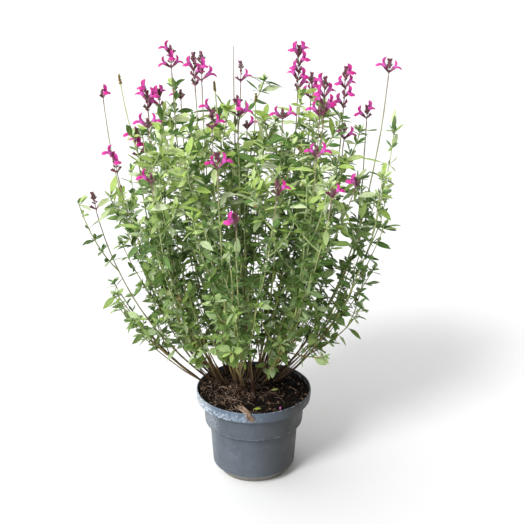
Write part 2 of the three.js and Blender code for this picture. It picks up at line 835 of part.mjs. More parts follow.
/** Outer and inner outline of the pot as [radius, height] pairs. */
function potProfile() {
  const p = POT;
  const bandFoot = p.height - p.rimBand;
  const step = p.height - p.shoulderDrop;
  return [
    [0, 0],
    [p.footRadius, 0],
    [p.bodyBaseRadius, p.footHeight],
    [p.bodyTopRadius, step - 1.5],
    [p.shoulderRadius, step],
    [p.shoulderTopRadius, bandFoot - 0.5],
    [p.rimRadius - 1.4, bandFoot],
    [p.rimRadius, p.height - 2],
    [p.rimRadius - 0.6, p.height],
    [p.rimRadius - 0.4 - p.wall, p.height],
    [p.rimRadius - 1.6 - p.wall, bandFoot + p.wall],
    [p.shoulderTopRadius - p.wall, bandFoot + p.wall - 0.5],
    [p.shoulderRadius - p.wall, step + p.wall],
    [p.bodyTopRadius - p.wall, step + p.wall - 1.5],
    [p.bodyBaseRadius - p.wall, p.footHeight + 1],
    [p.footRadius - p.wall, p.floor],
    [0, p.floor],
  ];
}

function buildPot() {
  let pot = solidOf(turned(potProfile(), POT.sides));
  for (let i = 0; i < POT.drainHoles; i++) {
    const angle = (2 * Math.PI * i) / POT.drainHoles;
    const drill = new THREE.CylinderGeometry(POT.drainRadius, POT.drainRadius, 4 * POT.floor, 8)
      .rotateX(Math.PI / 2)
      .translate(POT.drainCircle * Math.cos(angle), POT.drainCircle * Math.sin(angle), 0);
    pot = pot.subtract(solidOf(drill));
  }
  return geometryOf(pot);
}

/** Height of the compost: a low mound at the crown, with lumps. */
function compostHeight(x, y) {
  const away = Math.hypot(x - CROWN.x, y - CROWN.y) / COMPOST.moundRadius;
  const lumps =
    Math.sin(x / LUMPS.alongX + LUMPS.phase) * Math.cos(y / LUMPS.alongY) +
    LUMPS.diagonalShare * Math.sin((x + y) / LUMPS.diagonal);
  return COMPOST.level + COMPOST.mound * Math.exp(-away * away) + COMPOST.roughness * lumps;
}

function buildCompost(shoots) {
  const gap = SEAT + 0.05;
  const inner = potProfile().slice(10).reverse();
  const outline = inner.map(([radius, height]) => [Math.max(0, radius - gap), height + gap]);
  const mouth = outline.at(-1)[0];
  const rings = COMPOST_RINGS.map((share) => [share * mouth, COMPOST.level]);
  const geometry = turned([...outline, ...rings], POT.sides);
  const { position } = geometry.attributes;
  for (let i = 0; i < position.count; i++) {
    if (position.getZ(i) < COMPOST.level - 0.01) continue;
    position.setZ(i, compostHeight(position.getX(i), position.getY(i)));
  }
  let compost = solidOf(geometry);
  for (const shoot of shoots) compost = compost.subtract(footHole(shoot));
  return geometryOf(compost);
}

/** A plain hole round the foot of a stem. */
function footHole(stem) {
  const [foot, next] = stem.stations.map((station) => {
    const widened = (station.radius + SEAT * Math.SQRT2) / station.radius;
    return corners(station, station.radius * widened);
  });
  const surface = new Surface();
  const run = stem.stations[0].centre.distanceTo(stem.stations[1].centre);
  const lower = surface.ring(foot.map((corner, i) => corner.clone().lerp(next[i], -SEAT / run)));
  const upper = surface.ring(next);
  surface.fan([...lower].reverse());
  surface.bridge(lower, upper);
  surface.fan(upper);
  return solidOf(surface.geometry());
}

/** A fallen leaf with a flat underside, held above the compost. */
function buildFallenLeaf({ at, heading, length }) {
  const along = vec(Math.cos(radians(heading)), Math.sin(radians(heading)), 0);
  const across = vec(-along.y, along.x, 0);
  const { stalk, broad, tip, ridge, curl } = FALLEN_BLADE;
  const spot = (share, side) =>
    vec(at[0], at[1], 0).addScaledVector(along, share * length).addScaledVector(across, side * length);
  const rest = COMPOST.level + 2 * COMPOST.mound;
  const lift = (point, height) => point.setZ(rest + height);
  const surface = new Surface();
  const rings = broad.map(([share, half]) =>
    surface.ring([lift(spot(share, -half), 0), lift(spot(share, half), 0), lift(spot(share, 0), ridge)]),
  );
  surface.point([...rings[0]].reverse(), lift(spot(stalk, 0), curl));
  surface.bridge(rings[0], rings[1]);
  surface.point(rings[1], lift(spot(tip, 0), curl));
  return surface.geometry();
}

/** Lowers a piece until it lies on the compost. */
function settle(geometry, compost) {
  for (let step = 0; step < 3; step++) {
    const gap = solidOf(geometry).minGap(compost, 4 * COMPOST.mound);
    geometry.translate(0, 0, SEAT - gap);
  }
  return geometry;
}

/** The tuft's outline in the plane through the pot's axis, extruded across. */
function buildTuft() {
  const gap = SEAT + 0.1;
  const outer = POT.rimRadius + gap;
  const inner = (POT.rimRadius - POT.wall - 1) * Math.cos(Math.PI / POT.sides) - gap;
  const above = POT.height + gap;
  const t = TUFT.thickness;
  const shape = new THREE.Shape();
  shape.moveTo(inner - TUFT.inside, above - TUFT.dip);
  shape.lineTo(inner, above - TUFT.dip + TUFT.slope);
  shape.lineTo(inner, above);
  shape.lineTo(outer, above);
  shape.lineTo(outer, POT.height - TUFT.outside);
  shape.lineTo(outer + t, POT.height - TUFT.outside + TUFT.taper);
  shape.lineTo(outer + t, above + t);
  shape.lineTo(inner - t, above + t);
  shape.lineTo(inner - TUFT.inside, above - TUFT.dip + t);
  shape.closePath();
  return new THREE.ExtrudeGeometry(shape, { depth: TUFT.width, bevelEnabled: false })
    .translate(0, 0, -TUFT.width / 2)
    .rotateX(Math.PI / 2)
    .rotateZ(-Math.PI / 2)
    .translate(TUFT.x, 0, 0);
}

// ---------------------------------------------------------------- the whole plant

const material = (color, roughness) =>
  new THREE.MeshStandardMaterial({ color, roughness, metalness: 0, side: THREE.FrontSide });
const MATERIALS = {
  pot: material(0x6c7480, 0.5),
  compost: material(0x2b1c12, 1),
  shoot: material(0x5f833b, 0.75),
  raceme: material(0xd81e97, 0.6),
  fallenLeaf: material(0xa9b94c, 0.8),
  tuft: material(0x76573b, 1),
};

const salvia = new THREE.Group();

function addPiece(name, geometry, kind) {
  const mesh = new THREE.Mesh(geometry, MATERIALS[kind]);
  mesh.name = name;
  salvia.add(mesh);
}

const numbered = (name, number) => `${name}_${String(number).padStart(2, "0")}`;

const shoots = SHOOTS.map(planShoot);
const heads = shoots.flatMap(stemsOf).filter((stem) => stem.head);
const racemes = heads.map(racemeSurface);

for (const shoot of shoots) for (const stem of stemsOf(shoot)) occupy(tubeOf(stem), stem);
for (const surface of racemes) occupy(solidOf(surface.geometry()), surface);
for (const shoot of shoots) addTwigs(shoot);
for (const shoot of shoots) for (const stem of stemsOf(shoot)) planLeaves(stem);

addPiece("pot", buildPot(), "pot");
const compost = buildCompost(shoots);
addPiece("compost", compost, "compost");
shoots.forEach((shoot, i) => {
  const surface = new Surface();
  growStem(surface, shoot, undefined);
  addPiece(numbered("shoot", i + 1), surface.geometry(), "shoot");
});
racemes.forEach((surface, i) => addPiece(numbered("raceme", i + 1), surface.geometry(), "raceme"));
FALLEN_LEAVES.forEach((leaf, i) =>
  addPiece(numbered("fallen_leaf", i + 1), settle(buildFallenLeaf(leaf), solidOf(compost)), "fallenLeaf"),
);
addPiece("root_tuft", buildTuft(), "tuft");

export default salvia;
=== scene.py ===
"""A shrubby perennial salvia in a nursery pot, dressed over its CAD model.

The plan of the plant repeats the CAD's: the same stems, nodes and flower heads from the same seed.
It is in millimetres, like the CAD's, and each mesh is scaled to metres when it is made. Finer stems,
leaves and flowers then grow on that plan, with the twigs and small leaves that fill the real shrub.
"""
import math
from collections import namedtuple
from functools import lru_cache
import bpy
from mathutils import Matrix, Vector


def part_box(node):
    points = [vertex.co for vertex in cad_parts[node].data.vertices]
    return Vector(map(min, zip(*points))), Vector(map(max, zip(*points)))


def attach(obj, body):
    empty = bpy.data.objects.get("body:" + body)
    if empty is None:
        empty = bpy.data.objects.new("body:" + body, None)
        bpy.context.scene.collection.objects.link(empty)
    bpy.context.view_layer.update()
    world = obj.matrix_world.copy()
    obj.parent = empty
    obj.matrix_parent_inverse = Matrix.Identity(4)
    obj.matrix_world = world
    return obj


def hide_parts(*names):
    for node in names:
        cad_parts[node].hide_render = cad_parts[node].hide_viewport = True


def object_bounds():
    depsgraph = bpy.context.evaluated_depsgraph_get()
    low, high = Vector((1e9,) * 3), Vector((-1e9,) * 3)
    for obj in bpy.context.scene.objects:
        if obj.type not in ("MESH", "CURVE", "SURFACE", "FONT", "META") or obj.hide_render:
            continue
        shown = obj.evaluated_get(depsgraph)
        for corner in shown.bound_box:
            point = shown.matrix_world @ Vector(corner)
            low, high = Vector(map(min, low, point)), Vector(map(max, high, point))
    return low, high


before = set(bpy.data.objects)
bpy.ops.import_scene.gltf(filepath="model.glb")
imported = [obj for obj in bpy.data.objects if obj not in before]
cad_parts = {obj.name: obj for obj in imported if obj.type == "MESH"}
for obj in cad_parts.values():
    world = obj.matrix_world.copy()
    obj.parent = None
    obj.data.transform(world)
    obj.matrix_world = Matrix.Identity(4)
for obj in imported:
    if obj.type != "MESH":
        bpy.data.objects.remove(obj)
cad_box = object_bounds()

from types import SimpleNamespace as Values

import bpy
import numpy as np

# ---------------------------------------------------------------- driving dimensions, in mm and degrees

MM = 0.001
SEED = 2024
SEEDS = Values(racemes=500, crumbs=11, fibres=12, tuft=13, fallen=14)
UP = np.array([0.0, 0.0, 1.0])
SEAT = 0.3  # clearance between pieces that touch
BOX_MARGIN = 3.5  # from a leaf's tip to the CAD's box: its sides reach a little past its tip

# What each repeatable draw decides. The CAD's own draws have the same numbers.
DRAW = Values(
    lift=1, swing=2, length=3, arch=4, roll=5, tint=6, fold=7, twist=8, share=9, ratio=10, sway=40,
    stem_tint=41, twig=50, twig_length=51, twig_heading=52, filler_heading=70, filler_spread=71,
    filler_span=72, filler_foot=73, shoot_turn=90,
)
POT = Values(
    height=148, rim_radius=95, rim_band=17.6, shoulder_top_radius=84, shoulder_radius=80.9,
    shoulder_drop=57, body_top_radius=73.1, body_base_radius=68.4, foot_height=15.8, foot_radius=56,
    wall=2, floor=2.5, edge=1.1, drain_holes=6, drain_radius=5.5, drain_circle=43,
)
BAND_FOOT = POT.height - POT.rim_band
STEP = POT.height - POT.shoulder_drop  # the lower edge of the shoulder
COMPOST = Values(
    level=140.5, mound=3.5, mound_radius=55, roughness=1.1, crumbs=2400, mat_fibres=950,
    loose_fibres=550, roots=16,
)
CROWN = Values(x=-16, y=52, spread_x=0.19, spread_y=0.15, depth=12)
# A stem leaves its start outwards and turns up. The point that bends its curve stands at a share of
# the way out, its reach, and a share of the way up, its rise.
STEM = Values(node=50, radius=2.4, tip_radius=0.85, reach=0.85, rise=0.3, swelling=1.22, sway=1.1)
BRANCH = Values(node=42, radius=1.35, reach=0.7, rise=0.4)
LEAF = Values(
    share=0.9, stalk=0.14, lowest_level=205, lowest_side_level=158, lowest_fine_level=210, front_lift=0.5
)
# The ranges that a leaf's draws run over, with angles in degrees.
LEAF_RANGE = Values(
    length=(19, 29), lift=(-5, 60), swing=(-25, 25), roll=(-45, 45), ratio=(-0.05, 0.05),
    arch=(0.05, 0.36), tint=(0, 1), fold=(0.15, 0.6), twist=(-0.7, 0.7),
)
VASE = Values(x=-14, half_width=228, half_depth=180)  # no twig reaches outside this oval
# More twigs than in the CAD. Each one goes outwards and upwards by shares of its length.
TWIG = Values(
    chance=0.675, shortest=55, longest=85, outwards=0.55, upwards=0.8, nodes=2, first_level=190,
    last_level=590, radius=1.0, reach=0.75, rise=0.4,
)
# Slender side shoots that only the fine model has: they fill the shrub between the CAD's stems.
FILLER = Values(
    starts=(0.0, 0.0, 0.06, 0.14, 0.24, 0.33, 0.41, 0.48, 0.55, 0.61, 0.67, 0.73), span=(90, 250),
    spread=(6, 38), foot_spread=13, node=30, radius=1.2, reach=0.6, rise=0.42,
)
FLOWER = Values(calyx=11.5, calyx_radius=2.55, petal_thickness=0.5)
CALYX = Values(length=10.5, radius=2.1)
BUD = Values(length=7, radius=1.8)
# The smaller calyces and buds between those of a whorl, and the closed buds at a raceme's tip.
EXTRA = Values(chance=0.75, calyx_chance=0.45, calyx=9.5, calyx_radius=2.0, bud=7, bud_radius=1.4)
TIP_BUDS = Values(pairs=7, length=6.2, radius=1.5, shrink=0.09, step=1.7, below=6.8)
RACHIS = Values(radius=0.95, tip_radius=0.7, straight=0.4, lowest_lean=48, top_lean=30)

# Levels on the plant, and what holds at each of them. In between it is read off a straight line.
# How young and yellow a leaf is, and painted light: the top and the foot of the shrub are made paler, as if
# better lit.
YOUTH_AND_LIGHT = (170, 290, 430, 560), (0.34, 0.2, 0.03, 1.3)  # how young and yellow a leaf is
LEAF_GROWTH = (180, 340, 560), (0.93, 1.08, 1.5)
LEAF_RATIO = (220, 300, 420, 540), (0.53, 0.43, 0.33, 0.29)  # width to length
TIP_GROWTH = (320, 560), (1, 1.35)
TUFT_CHANCE = (280, 460), (0.5, 0.92)  # of a tuft in the axil of a leaf

# ---------------------------------------------------------------- camera

CAMERA = Values(place=(0.0138, -1.6338, 0.9961), tilt=69, lens=75.8, sensor=36)


def make_camera():
    camera = bpy.data.objects.new("camera", bpy.data.cameras.new("camera"))
    camera.location = CAMERA.place
    camera.rotation_euler = (math.radians(CAMERA.tilt), 0, 0)
    camera.data.lens = CAMERA.lens
    camera.data.sensor_width = CAMERA.sensor
    bpy.context.collection.objects.link(camera)
    bpy.context.scene.camera = camera


make_camera()

# ---------------------------------------------------------------- plan of the plant

# A head of flowers is (whorls, length, turn). It has one word per whorl from the lowest up, with a
# letter for each of its two sides: f is an open flower, c a calyx without its corolla, b a bud and -
# nothing. The first letter of the lowest whorl points to the compass angle turn, and each whorl
# stands a quarter turn from the last.

# A branch leaves its main stem at the fraction start of its length. It is bare of leaves over a
# length at its tip, and ends in a head of flowers, a bud, a needle or a spent head.
Branch = namedtuple("Branch", "start tip bare head end", defaults=(0, None, 0, None, "bud"))
# A basal shoot has branches too, and its leaves are larger by its vigour.
Shoot = namedtuple(
    "Shoot", "tip bare branches head end foot girth via vigour", defaults=(None, "bud", None, 1, None, 1.0)
)

SHOOTS = [
    Shoot((-230, 40, 618), 165, [Branch(0.55, (-196, 70, 500), 20)], ("cf b-", 14, 120)),
    Shoot(
        (-238, -30, 456), 200, [Branch(0.7, (-262, -55, 486), 5)], ("cc cb b-", 34, 200),
        via=(-198, -22, 266), vigour=1.2,
    ),
    Shoot(
        (-176, 10, 526), 25,
        [Branch(0.5, (-199, -62, 525), 30, ("cc ff fb", 32, 200)), Branch(0.12, (-92, -18, 224), 0)],
        ("cf ff fc bb", 54, 205),
    ),
    Shoot(
        (-150, -80, 597), 25, [Branch(0.5, (-142, -135, 531), 20, ("fc bb", 18, 180))],
        ("ff bb", 18, 190),
    ),
    Shoot(
        (-155, -22, 609), 20, [Branch(0.7, (-198, 5, 652), 70, end="spent")], ("cf ff fb", 34, 240)
    ),
    Shoot(
        (-128, 92, 650), 60, [Branch(0.6, (-145, 66, 594), 20, ("fc ff bb", 34, 160))],
        ("ff ff fc bb", 40, 190),
    ),
    Shoot((-118, 138, 590), 60, [Branch(0.5, (-172, 158, 520), 10)], ("fc bb", 20, 170)),
    Shoot(
        (-75, -15, 650), 55, [Branch(0.65, (-89, 50, 632), 45, ("cc cf fc cb bb", 54, 230))],
        ("cf cf cc bb", 50, 200),
    ),
    Shoot((-58, -78, 594), 35, [Branch(0.6, (-95, -100, 560), 10)], ("cf cc fb", 34, 185)),
    Shoot((-48, -150, 557), 30, [Branch(0.5, (-84, -168, 500), 10)], ("ff cc bb", 28, 190)),
    Shoot((-30, 58, 700), 120, [Branch(0.6, (-20, 84, 627), 45, ("cf bb b-", 40, 180))], end="needle"),
    Shoot(
        (-22, -32, 604), 35, [Branch(0.6, (-57, 12, 640), 50, end="spent")], ("cf cf cc bb", 34, 190),
        foot=(3, -12), girth=1.5,
    ),
    Shoot((-11, 128, 545), 30, [Branch(0.55, (4, 60, 612), 50, end="spent")], ("cf b-", 16, 200)),
    Shoot((69, 58, 622), 45, [Branch(0.5, (36, 104, 560), 10)], ("cf ff fc cf ff bb", 74, 225)),
    Shoot((92, 120, 594), 45, [Branch(0.5, (104, 172, 520), 10)], ("fc cf cb bb", 48, 215)),
    Shoot((106, 0, 594), 40, [Branch(0.5, (74, -46, 560), 10)], ("cf ff ff fc bb", 66, 225)),
    Shoot(
        (139, 42, 597), 50, [Branch(0.6, (146, 112, 530), 30, ("ff cc b-", 30, 200))],
        ("fc cf ff cf bb", 70, 215),
    ),
    Shoot(
        (97, -64, 611), 40,
        [Branch(0.5, (147, -104, 519), 25, ("fc b-", 16, 215)), Branch(0.16, (112, -62, 232), 0)],
        ("fc bb", 18, 180),
    ),
    Shoot(
        (90, -126, 563), 30, [Branch(0.5, (110, -172, 525), 25, ("cf b-", 14, 190))], ("ff bb", 24, 185)
    ),
    Shoot(
        (44, -24, 596), 30, [Branch(0.5, (34, -92, 540), 10), Branch(0.08, (30, -34, 206), 0)],
        ("ff bb", 20, 185),
    ),
    Shoot(
        (207, 44, 654), 190, [Branch(0.5, (182, 104, 568), 85, ("fc cf b-", 24, 200))],
        ("ff bb bb", 24, 180),
    ),
    Shoot(
        (210, -36, 590), 0, [Branch(0.55, (206, 6, 470), 10), Branch(0.24, (170, -18, 296), 0)],
        vigour=1.1,
    ),
    Shoot(
        (-22, -186, 488), 35, [Branch(0.45, (34, -152, 520), 30, ("cf cb b-", 26, 200))],
        ("fc cb b-", 22, 230),
    ),
    Shoot(
        (-214, -26, 322), 0, [Branch(0.55, (-176, -70, 300), 0)], foot=(-64, 24), via=(-146, 16, 188)
    ),
]

FALLEN_LEAVES = [
    Values(at=(34, -3), heading=20, length=15, tint=0.97, young=0.0),
    Values(at=(6, -66), heading=5, length=13, tint=0.5, young=1.0),
]
PETALS = [
    Values(at=(-27, 50), heading=60, size=0.8, reach=0.9),
    Values(at=(43, -62), heading=200, size=0.45, reach=0.0),
]
# The tuft of root fibre: where it starts, crosses the rim and ends along X, and how far it hangs.
ROOT_TUFT = Values(start=-25, over=-8, tip=-2, drop=14, width=6.5, thickness=1.3, strands=150)

# ---------------------------------------------------------------- helpers


def vec(*numbers):
    return np.array(numbers, dtype=float)


def column(*numbers):
    return vec(*numbers)[:, None]


def mix(a, b, share):
    return a + (b - a) * share


def unit(vectors):
    return vectors / np.linalg.norm(vectors, axis=-1, keepdims=True)


def square_to(vector, axis):
    """The part of a vector that is square to an axis, at unit length."""
    return unit(vector - axis * np.dot(vector, axis))


def turned_about(vector, axis, angle):
    """A vector turned about a unit axis."""
    cos, sin = math.cos(angle), math.sin(angle)
    return vector * cos + np.cross(axis, vector) * sin + axis * np.dot(axis, vector) * (1 - cos)


def leaning(axis, outward, angle):
    """The direction that leans away from an axis by an angle."""
    return unit(axis * math.cos(angle) + outward * math.sin(angle))


def bearing(angle, rise=0.0):
    """The direction of a compass angle, with a rise."""
    return vec(math.cos(angle), math.sin(angle), rise)


def circle(count):
    """Angles evenly round a circle."""
    return math.tau * np.arange(count) / count


def draw(*keys):
    """A repeatable draw between 0 and 1 for a list of whole numbers, as in the CAD."""
    whole = 0xFFFFFFFF
    mark = SEED
    for key in keys:
        mark = ((mark ^ (key + 1)) * 0x9E3779B1) & whole
        mark ^= mark >> 15
    mark = (mark * 0x85EBCA6B) & whole
    mark ^= mark >> 13
    return mark / 2**32


Place = namedtuple("Place", "root out right up")


def place_at(root, out, sideways, roll=0.0):
    """A place that faces out, with its right axis near the sideways vector before its roll."""
    right = square_to(sideways, out)
    up = np.cross(out, right)
    return Place(root, out, turned_about(right, out, roll), turned_about(up, out, roll))


def spot(place, forward, sideways, upwards):
    """Points given along a place's three axes. The numbers may be arrays of one shape."""
    along = np.stack(np.broadcast_arrays(forward, sideways, upwards), -1)
    return place.root + along @ np.array(place[1:])


# ---------------------------------------------------------------- meshes


@lru_cache(maxsize=None)
def skin_faces(rows, around, start, end):
    """Faces of a closed skin over rows of rings, as blocks of faces with equal corners.

    An end is "cap" for one flat face, "strip" for the narrow edge of a blade and "tip" for a point.
    The last value says for each face how far round the ring it stands, or -1 on a cap.
    """
    ring = np.arange(around)
    following = (ring + 1) % around
    lower = (np.arange(rows - 1) * around)[:, None]
    upper = lower + around
    quads = np.stack([lower + ring, lower + following, upper + following, upper + ring], -1)
    blocks = [(quads.reshape(-1, 4), np.tile(ring, rows - 1))]
    half, tip = around // 2, rows * around
    for first, kind, order in ((0, start, -1), ((rows - 1) * around, end, 1)):
        if kind == "cap":
            ends = [((first + ring)[None], vec(-1))]
        elif kind == "tip":
            ends = [(np.stack([first + ring, first + following, np.full(around, tip)], -1), ring)]
            tip += 1
        else:
            face = first + np.arange(half + 1)
            back = first + np.append([0], np.arange(around - 1, half - 1, -1))
            strip = np.stack([face[1:-2], face[2:-1], back[2:-1], back[1:-2]], -1)
            corners = np.array([[face[0], face[1], back[1]], [face[-2], face[-1], back[-2]]])
            ends = [(block, np.full(len(block), -1)) for block in (strip, corners)]
        blocks += [(faces[:, ::order], places) for faces, places in ends]
    return blocks


class Batch:
    """Many small closed skins that become one piece, with values at their points for its material."""

    def __init__(self, *value_names):
        self.points, self.faces, self.under, self.count = [], [], [], 0
        self.values = {name: [] for name in value_names}

    def skin(self, rings, start="cap", end="cap", tips=(), **values):
        """Adds a skin over rings of points of the shape (rows, around, 3), and its pointed tips."""
        rows, around = rings.shape[:2]
        self.points += [rings.reshape(-1, 3), *[np.reshape(tip, (1, 3)) for tip in tips]]
        for faces, place_in_ring in skin_faces(rows, around, start, end):
            self.faces.append(faces + self.count)
            self.under.append(place_in_ring >= around / 2)
        pointed = [row for row, kind in ((0, start), (-1, end)) if kind == "tip"]
        for name, kept in self.values.items():
            value = np.broadcast_to(values.get(name, 0.0), (rows, around))
            kept += [value.ravel(), *[value[row].mean(keepdims=True) for row in pointed]]
        self.count += rows * around + len(tips)

    def mesh(self, name, sharp_angle=50):
        """The mesh in metres. Edges that turn by more than the sharp angle, in degrees, stay sharp."""
        mesh = bpy.data.meshes.new(name)
        points = np.concatenate(self.points) * MM
        corners = np.concatenate([block.ravel() for block in self.faces])
        sizes = np.concatenate([np.full(len(block), block.shape[1]) for block in self.faces])
        mesh.vertices.add(len(points))
        mesh.vertices.foreach_set("co", points.ravel())
        mesh.loops.add(len(corners))
        mesh.loops.foreach_set("vertex_index", corners.astype(np.int32))
        mesh.polygons.add(len(sizes))
        mesh.polygons.foreach_set("loop_start", (np.cumsum(sizes) - sizes).astype(np.int32))
        mesh.update(calc_edges=True)
        layers = [(value, "POINT", kept) for value, kept in self.values.items()]
        for value, domain, kept in [*layers, ("under", "FACE", self.under)]:
            layer = mesh.attributes.new(value, "FLOAT", domain)
            layer.data.foreach_set("value", np.concatenate(kept).astype(np.float32))
        mesh.shade_smooth()
        mesh.set_sharp_from_angle(angle=math.radians(sharp_angle))
        return mesh

    def piece(self, name, material, slot, *nodes, sharp_angle=50):
        """Puts the skins in the scene as a piece of the object that stands for CAD nodes."""
        if not self.count:
            return None
        piece = bpy.data.objects.new(name, self.mesh(name, sharp_angle))
        piece.data.materials.append(material)
        bpy.context.collection.objects.link(piece)
        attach(piece, "root")
        if nodes:
            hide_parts(*nodes)
        return piece


# ---------------------------------------------------------------- stems


class Curve:
    """A quadratic Bezier curve that is walked by its length."""

    STEPS = np.linspace(0, 1, 201)

    def __init__(self, start, via, tip):
        self.start, self.via, self.tip = start, via, tip
        runs = np.linalg.norm(np.diff(self.at(self.STEPS), axis=0), axis=1)
        self.walked = np.append([0], np.cumsum(runs))
        self.length = self.walked[-1]

    def at(self, step):
        step = np.asarray(step)[..., None]
        return (1 - step) ** 2 * self.start + 2 * step * (1 - step) * self.via + step**2 * self.tip

    def step(self, share):
        return np.interp(np.asarray(share) * self.length, self.walked, self.STEPS)

    def point(self, share):
        return self.at(self.step(share))

    def along(self, share):
        step = self.step(share)
        return unit((1 - step) * (self.via - self.start) + step * (self.tip - self.via))


def rising_curve(start, tip, kind):
    """A curve that leaves its start outwards and turns up to its tip, for a kind of stem."""
    return Curve(start, mix(start, tip, vec(kind.reach, kind.reach, kind.rise)), tip)


Station = namedtuple("Station", "centre along right up radius left")


def side_directions(station):
    """The outward direction of each of a square stem's four sides."""
    return [-station.up, station.right, station.up, -station.right]


class Stem:
    """One stem: its curve, the cross axes at its nodes and what it carries."""

    def __init__(self, curve, keys, spacing, radius, first_right, plan=Branch()):
        self.curve, self.keys, self.radius = curve, keys, radius
        self.bare, self.head, self.end = plan.bare, plan.head, plan.end
        self.count = max(2, math.floor(curve.length / spacing + 0.5))
        self.phase = math.tau * draw(*keys, DRAW.sway)
        self.offshoots, self.rights = {}, [first_right]
        for i in range(self.count + 1):
            self.rights.append(square_to(self.rights[-1], curve.along(i / self.count)))
        del self.rights[0]

    def station(self, node):
        """Centre and axes at a node, or part of the way from one to the next."""
        share = node / self.count
        low = min(int(node), self.count - 1)
        along = self.curve.along(share)
        right = square_to(mix(self.rights[low], self.rights[low + 1], node - low), along)
        radius = mix(self.radius, min(STEM.tip_radius, self.radius), math.sqrt(share))
        bow = STEM.sway * math.sin(math.pi * share) * math.sin(2.3 * node + self.phase)
        centre = self.curve.point(share) + bow * right
        return Station(centre, along, right, np.cross(along, right), radius, self.curve.length * (1 - share))

    def walk(self, nodes):
        """What a station holds, as one array each for many nodes."""
        return [np.array(values) for values in zip(*map(self.station, nodes))]

    def add_offshoot(self, node, curve, keys, spacing, radius, plan=Branch()):
        """Hangs a side stem on a node, unless that side of the node is taken."""
        sides = side_directions(self.station(node))
        side = int(np.argmax([np.dot(out, curve.along(0)) for out in sides]))
        if (node, side) not in self.offshoots:
            self.offshoots[node, side] = Stem(curve, keys, spacing, radius, sides[(side + 1) % 4], plan)

    def family(self):
        """This stem and every stem of the CAD's plan that grows from it, from the root out."""
        return [self, *[stem for offshoot in self.offshoots.values() for stem in offshoot.family()]]


def plan_shoot(plan, index):
    """The main stem of a shoot, with its branches."""
    tip = vec(*plan.tip)
    foot = plan.foot or (mix(CROWN.x, tip[0], CROWN.spread_x), mix(CROWN.y, tip[1], CROWN.spread_y))
    foot = vec(*foot, COMPOST.level - CROWN.depth)
    curve = Curve(foot, vec(*plan.via), tip) if plan.via else rising_curve(foot, tip, STEM)
    right = bearing(math.tau * draw(index, DRAW.shoot_turn), 0.2)
    main = Stem(curve, [index, 0], STEM.node, STEM.radius * plan.girth, right, plan)
    for i, side in enumerate(plan.branches):
        node = math.floor(side.start * main.count + 0.5)
        curve = rising_curve(main.station(node).centre, vec(*side.tip), BRANCH)
        main.add_offshoot(node, curve, [index, i + 1], BRANCH.node, BRANCH.radius, side)
    return main


def in_vase(point):
    return math.hypot((point[0] - VASE.x) / VASE.half_width, point[1] / VASE.half_depth) <= 1


def add_twigs(main):
    """Leafy twigs in the leaf axils: the CAD's, and between them more that the CAD leaves out."""
    for stem in main.family():
        for node in range(2, stem.count):
            station = stem.station(node)
            if not TWIG.first_level <= station.centre[2] <= TWIG.last_level or station.left < stem.bare:
                continue
            keys = [*stem.keys, node]
            if draw(*keys, DRAW.twig) > TWIG.chance:
                continue
            length = mix(TWIG.shortest, TWIG.longest, draw(*keys, DRAW.twig_length))
            away = bearing(math.tau * draw(*keys, DRAW.twig_heading), 1) * length
            tip = station.centre + away * (TWIG.outwards, TWIG.outwards, TWIG.upwards)
            if in_vase(tip):
                curve = rising_curve(station.centre, tip, TWIG)
                stem.add_offshoot(node, curve, keys, length / TWIG.nodes, TWIG.radius)


def plan_fillers(main, index):
    """Slender shoots that rise beside a main stem, the first of them from the compost."""
    fillers = []
    for k, start_share in enumerate(FILLER.starts):
        span = mix(*FILLER.span, draw(index, DRAW.filler_span, k)) / main.curve.length
        from_foot = start_share == 0
        if main.curve.length * (1 - start_share - span) < main.bare or from_foot and SHOOTS[index].foot:
            continue
        start = main.curve.point(start_share)
        if from_foot:
            start = start + FILLER.foot_spread * bearing(math.tau * draw(index, DRAW.filler_foot, k))
        away = bearing(math.tau * draw(index, DRAW.filler_heading, k), 0.3)
        spread = mix(*FILLER.spread, draw(index, DRAW.filler_spread, k))
        tip = main.curve.point(start_share + span) + spread * away
        if in_vase(tip):
            curve = rising_curve(start, tip, FILLER)
            right = np.cross(curve.along(0), UP)
            fillers.append(Stem(curve, [index, 100 + k], FILLER.node, FILLER.radius, right))
    return fillers


SECTION = np.radians(np.arange(8) * 45 - 135)
SECTION_RADIUS = np.where(np.arange(8) % 2 == 0, 1.0, 0.8)  # a square stem with rounded edges


def tube(batch, centres, rights, alongs, radii, **values):
    """A square-sectioned stem along points, with a radius at each."""
    ups = np.cross(alongs, rights)
    radii = np.asarray(radii)[:, None]
    sideways = (radii * SECTION_RADIUS * np.cos(SECTION))[..., None] * rights[:, None]
    upwards = (radii * SECTION_RADIUS * np.sin(SECTION))[..., None] * ups[:, None]
    tip = centres[-1] + alongs[-1] * radii[-1]
    batch.skin(centres[:, None] + sideways + upwards, "cap", "tip", [tip], **values)


def add_stem(batch, stem):
    """The stem itself, a little swollen at its nodes and never quite straight."""
    nodes = np.arange(3 * stem.count + 1) / 3
    centres, alongs, rights, _, radii, left = stem.walk(nodes)
    radii = radii * np.where(nodes % 1 == 0, STEM.swelling, 1.0)
    flush = 0.1 * nodes / stem.count
    if stem.end == "needle":
        radii *= np.clip(0.55 + left / 200, 0, 1)
        flush += 1
    if stem.head:
        flush = np.clip(1 - left / (stem.bare + 60), 0, 1)
    tint = draw(*stem.keys, DRAW.stem_tint)
    tube(batch, centres, rights, alongs, radii, tint=tint, flush=flush[:, None], girth=radii[:, None])


# ---------------------------------------------------------------- leaves


def round_blade(columns):
    """Places round a thin blade: from 1 over its face to -1, and back beneath it."""
    across = np.linspace(1, -1, columns)
    return np.append(across, across[-2:0:-1])


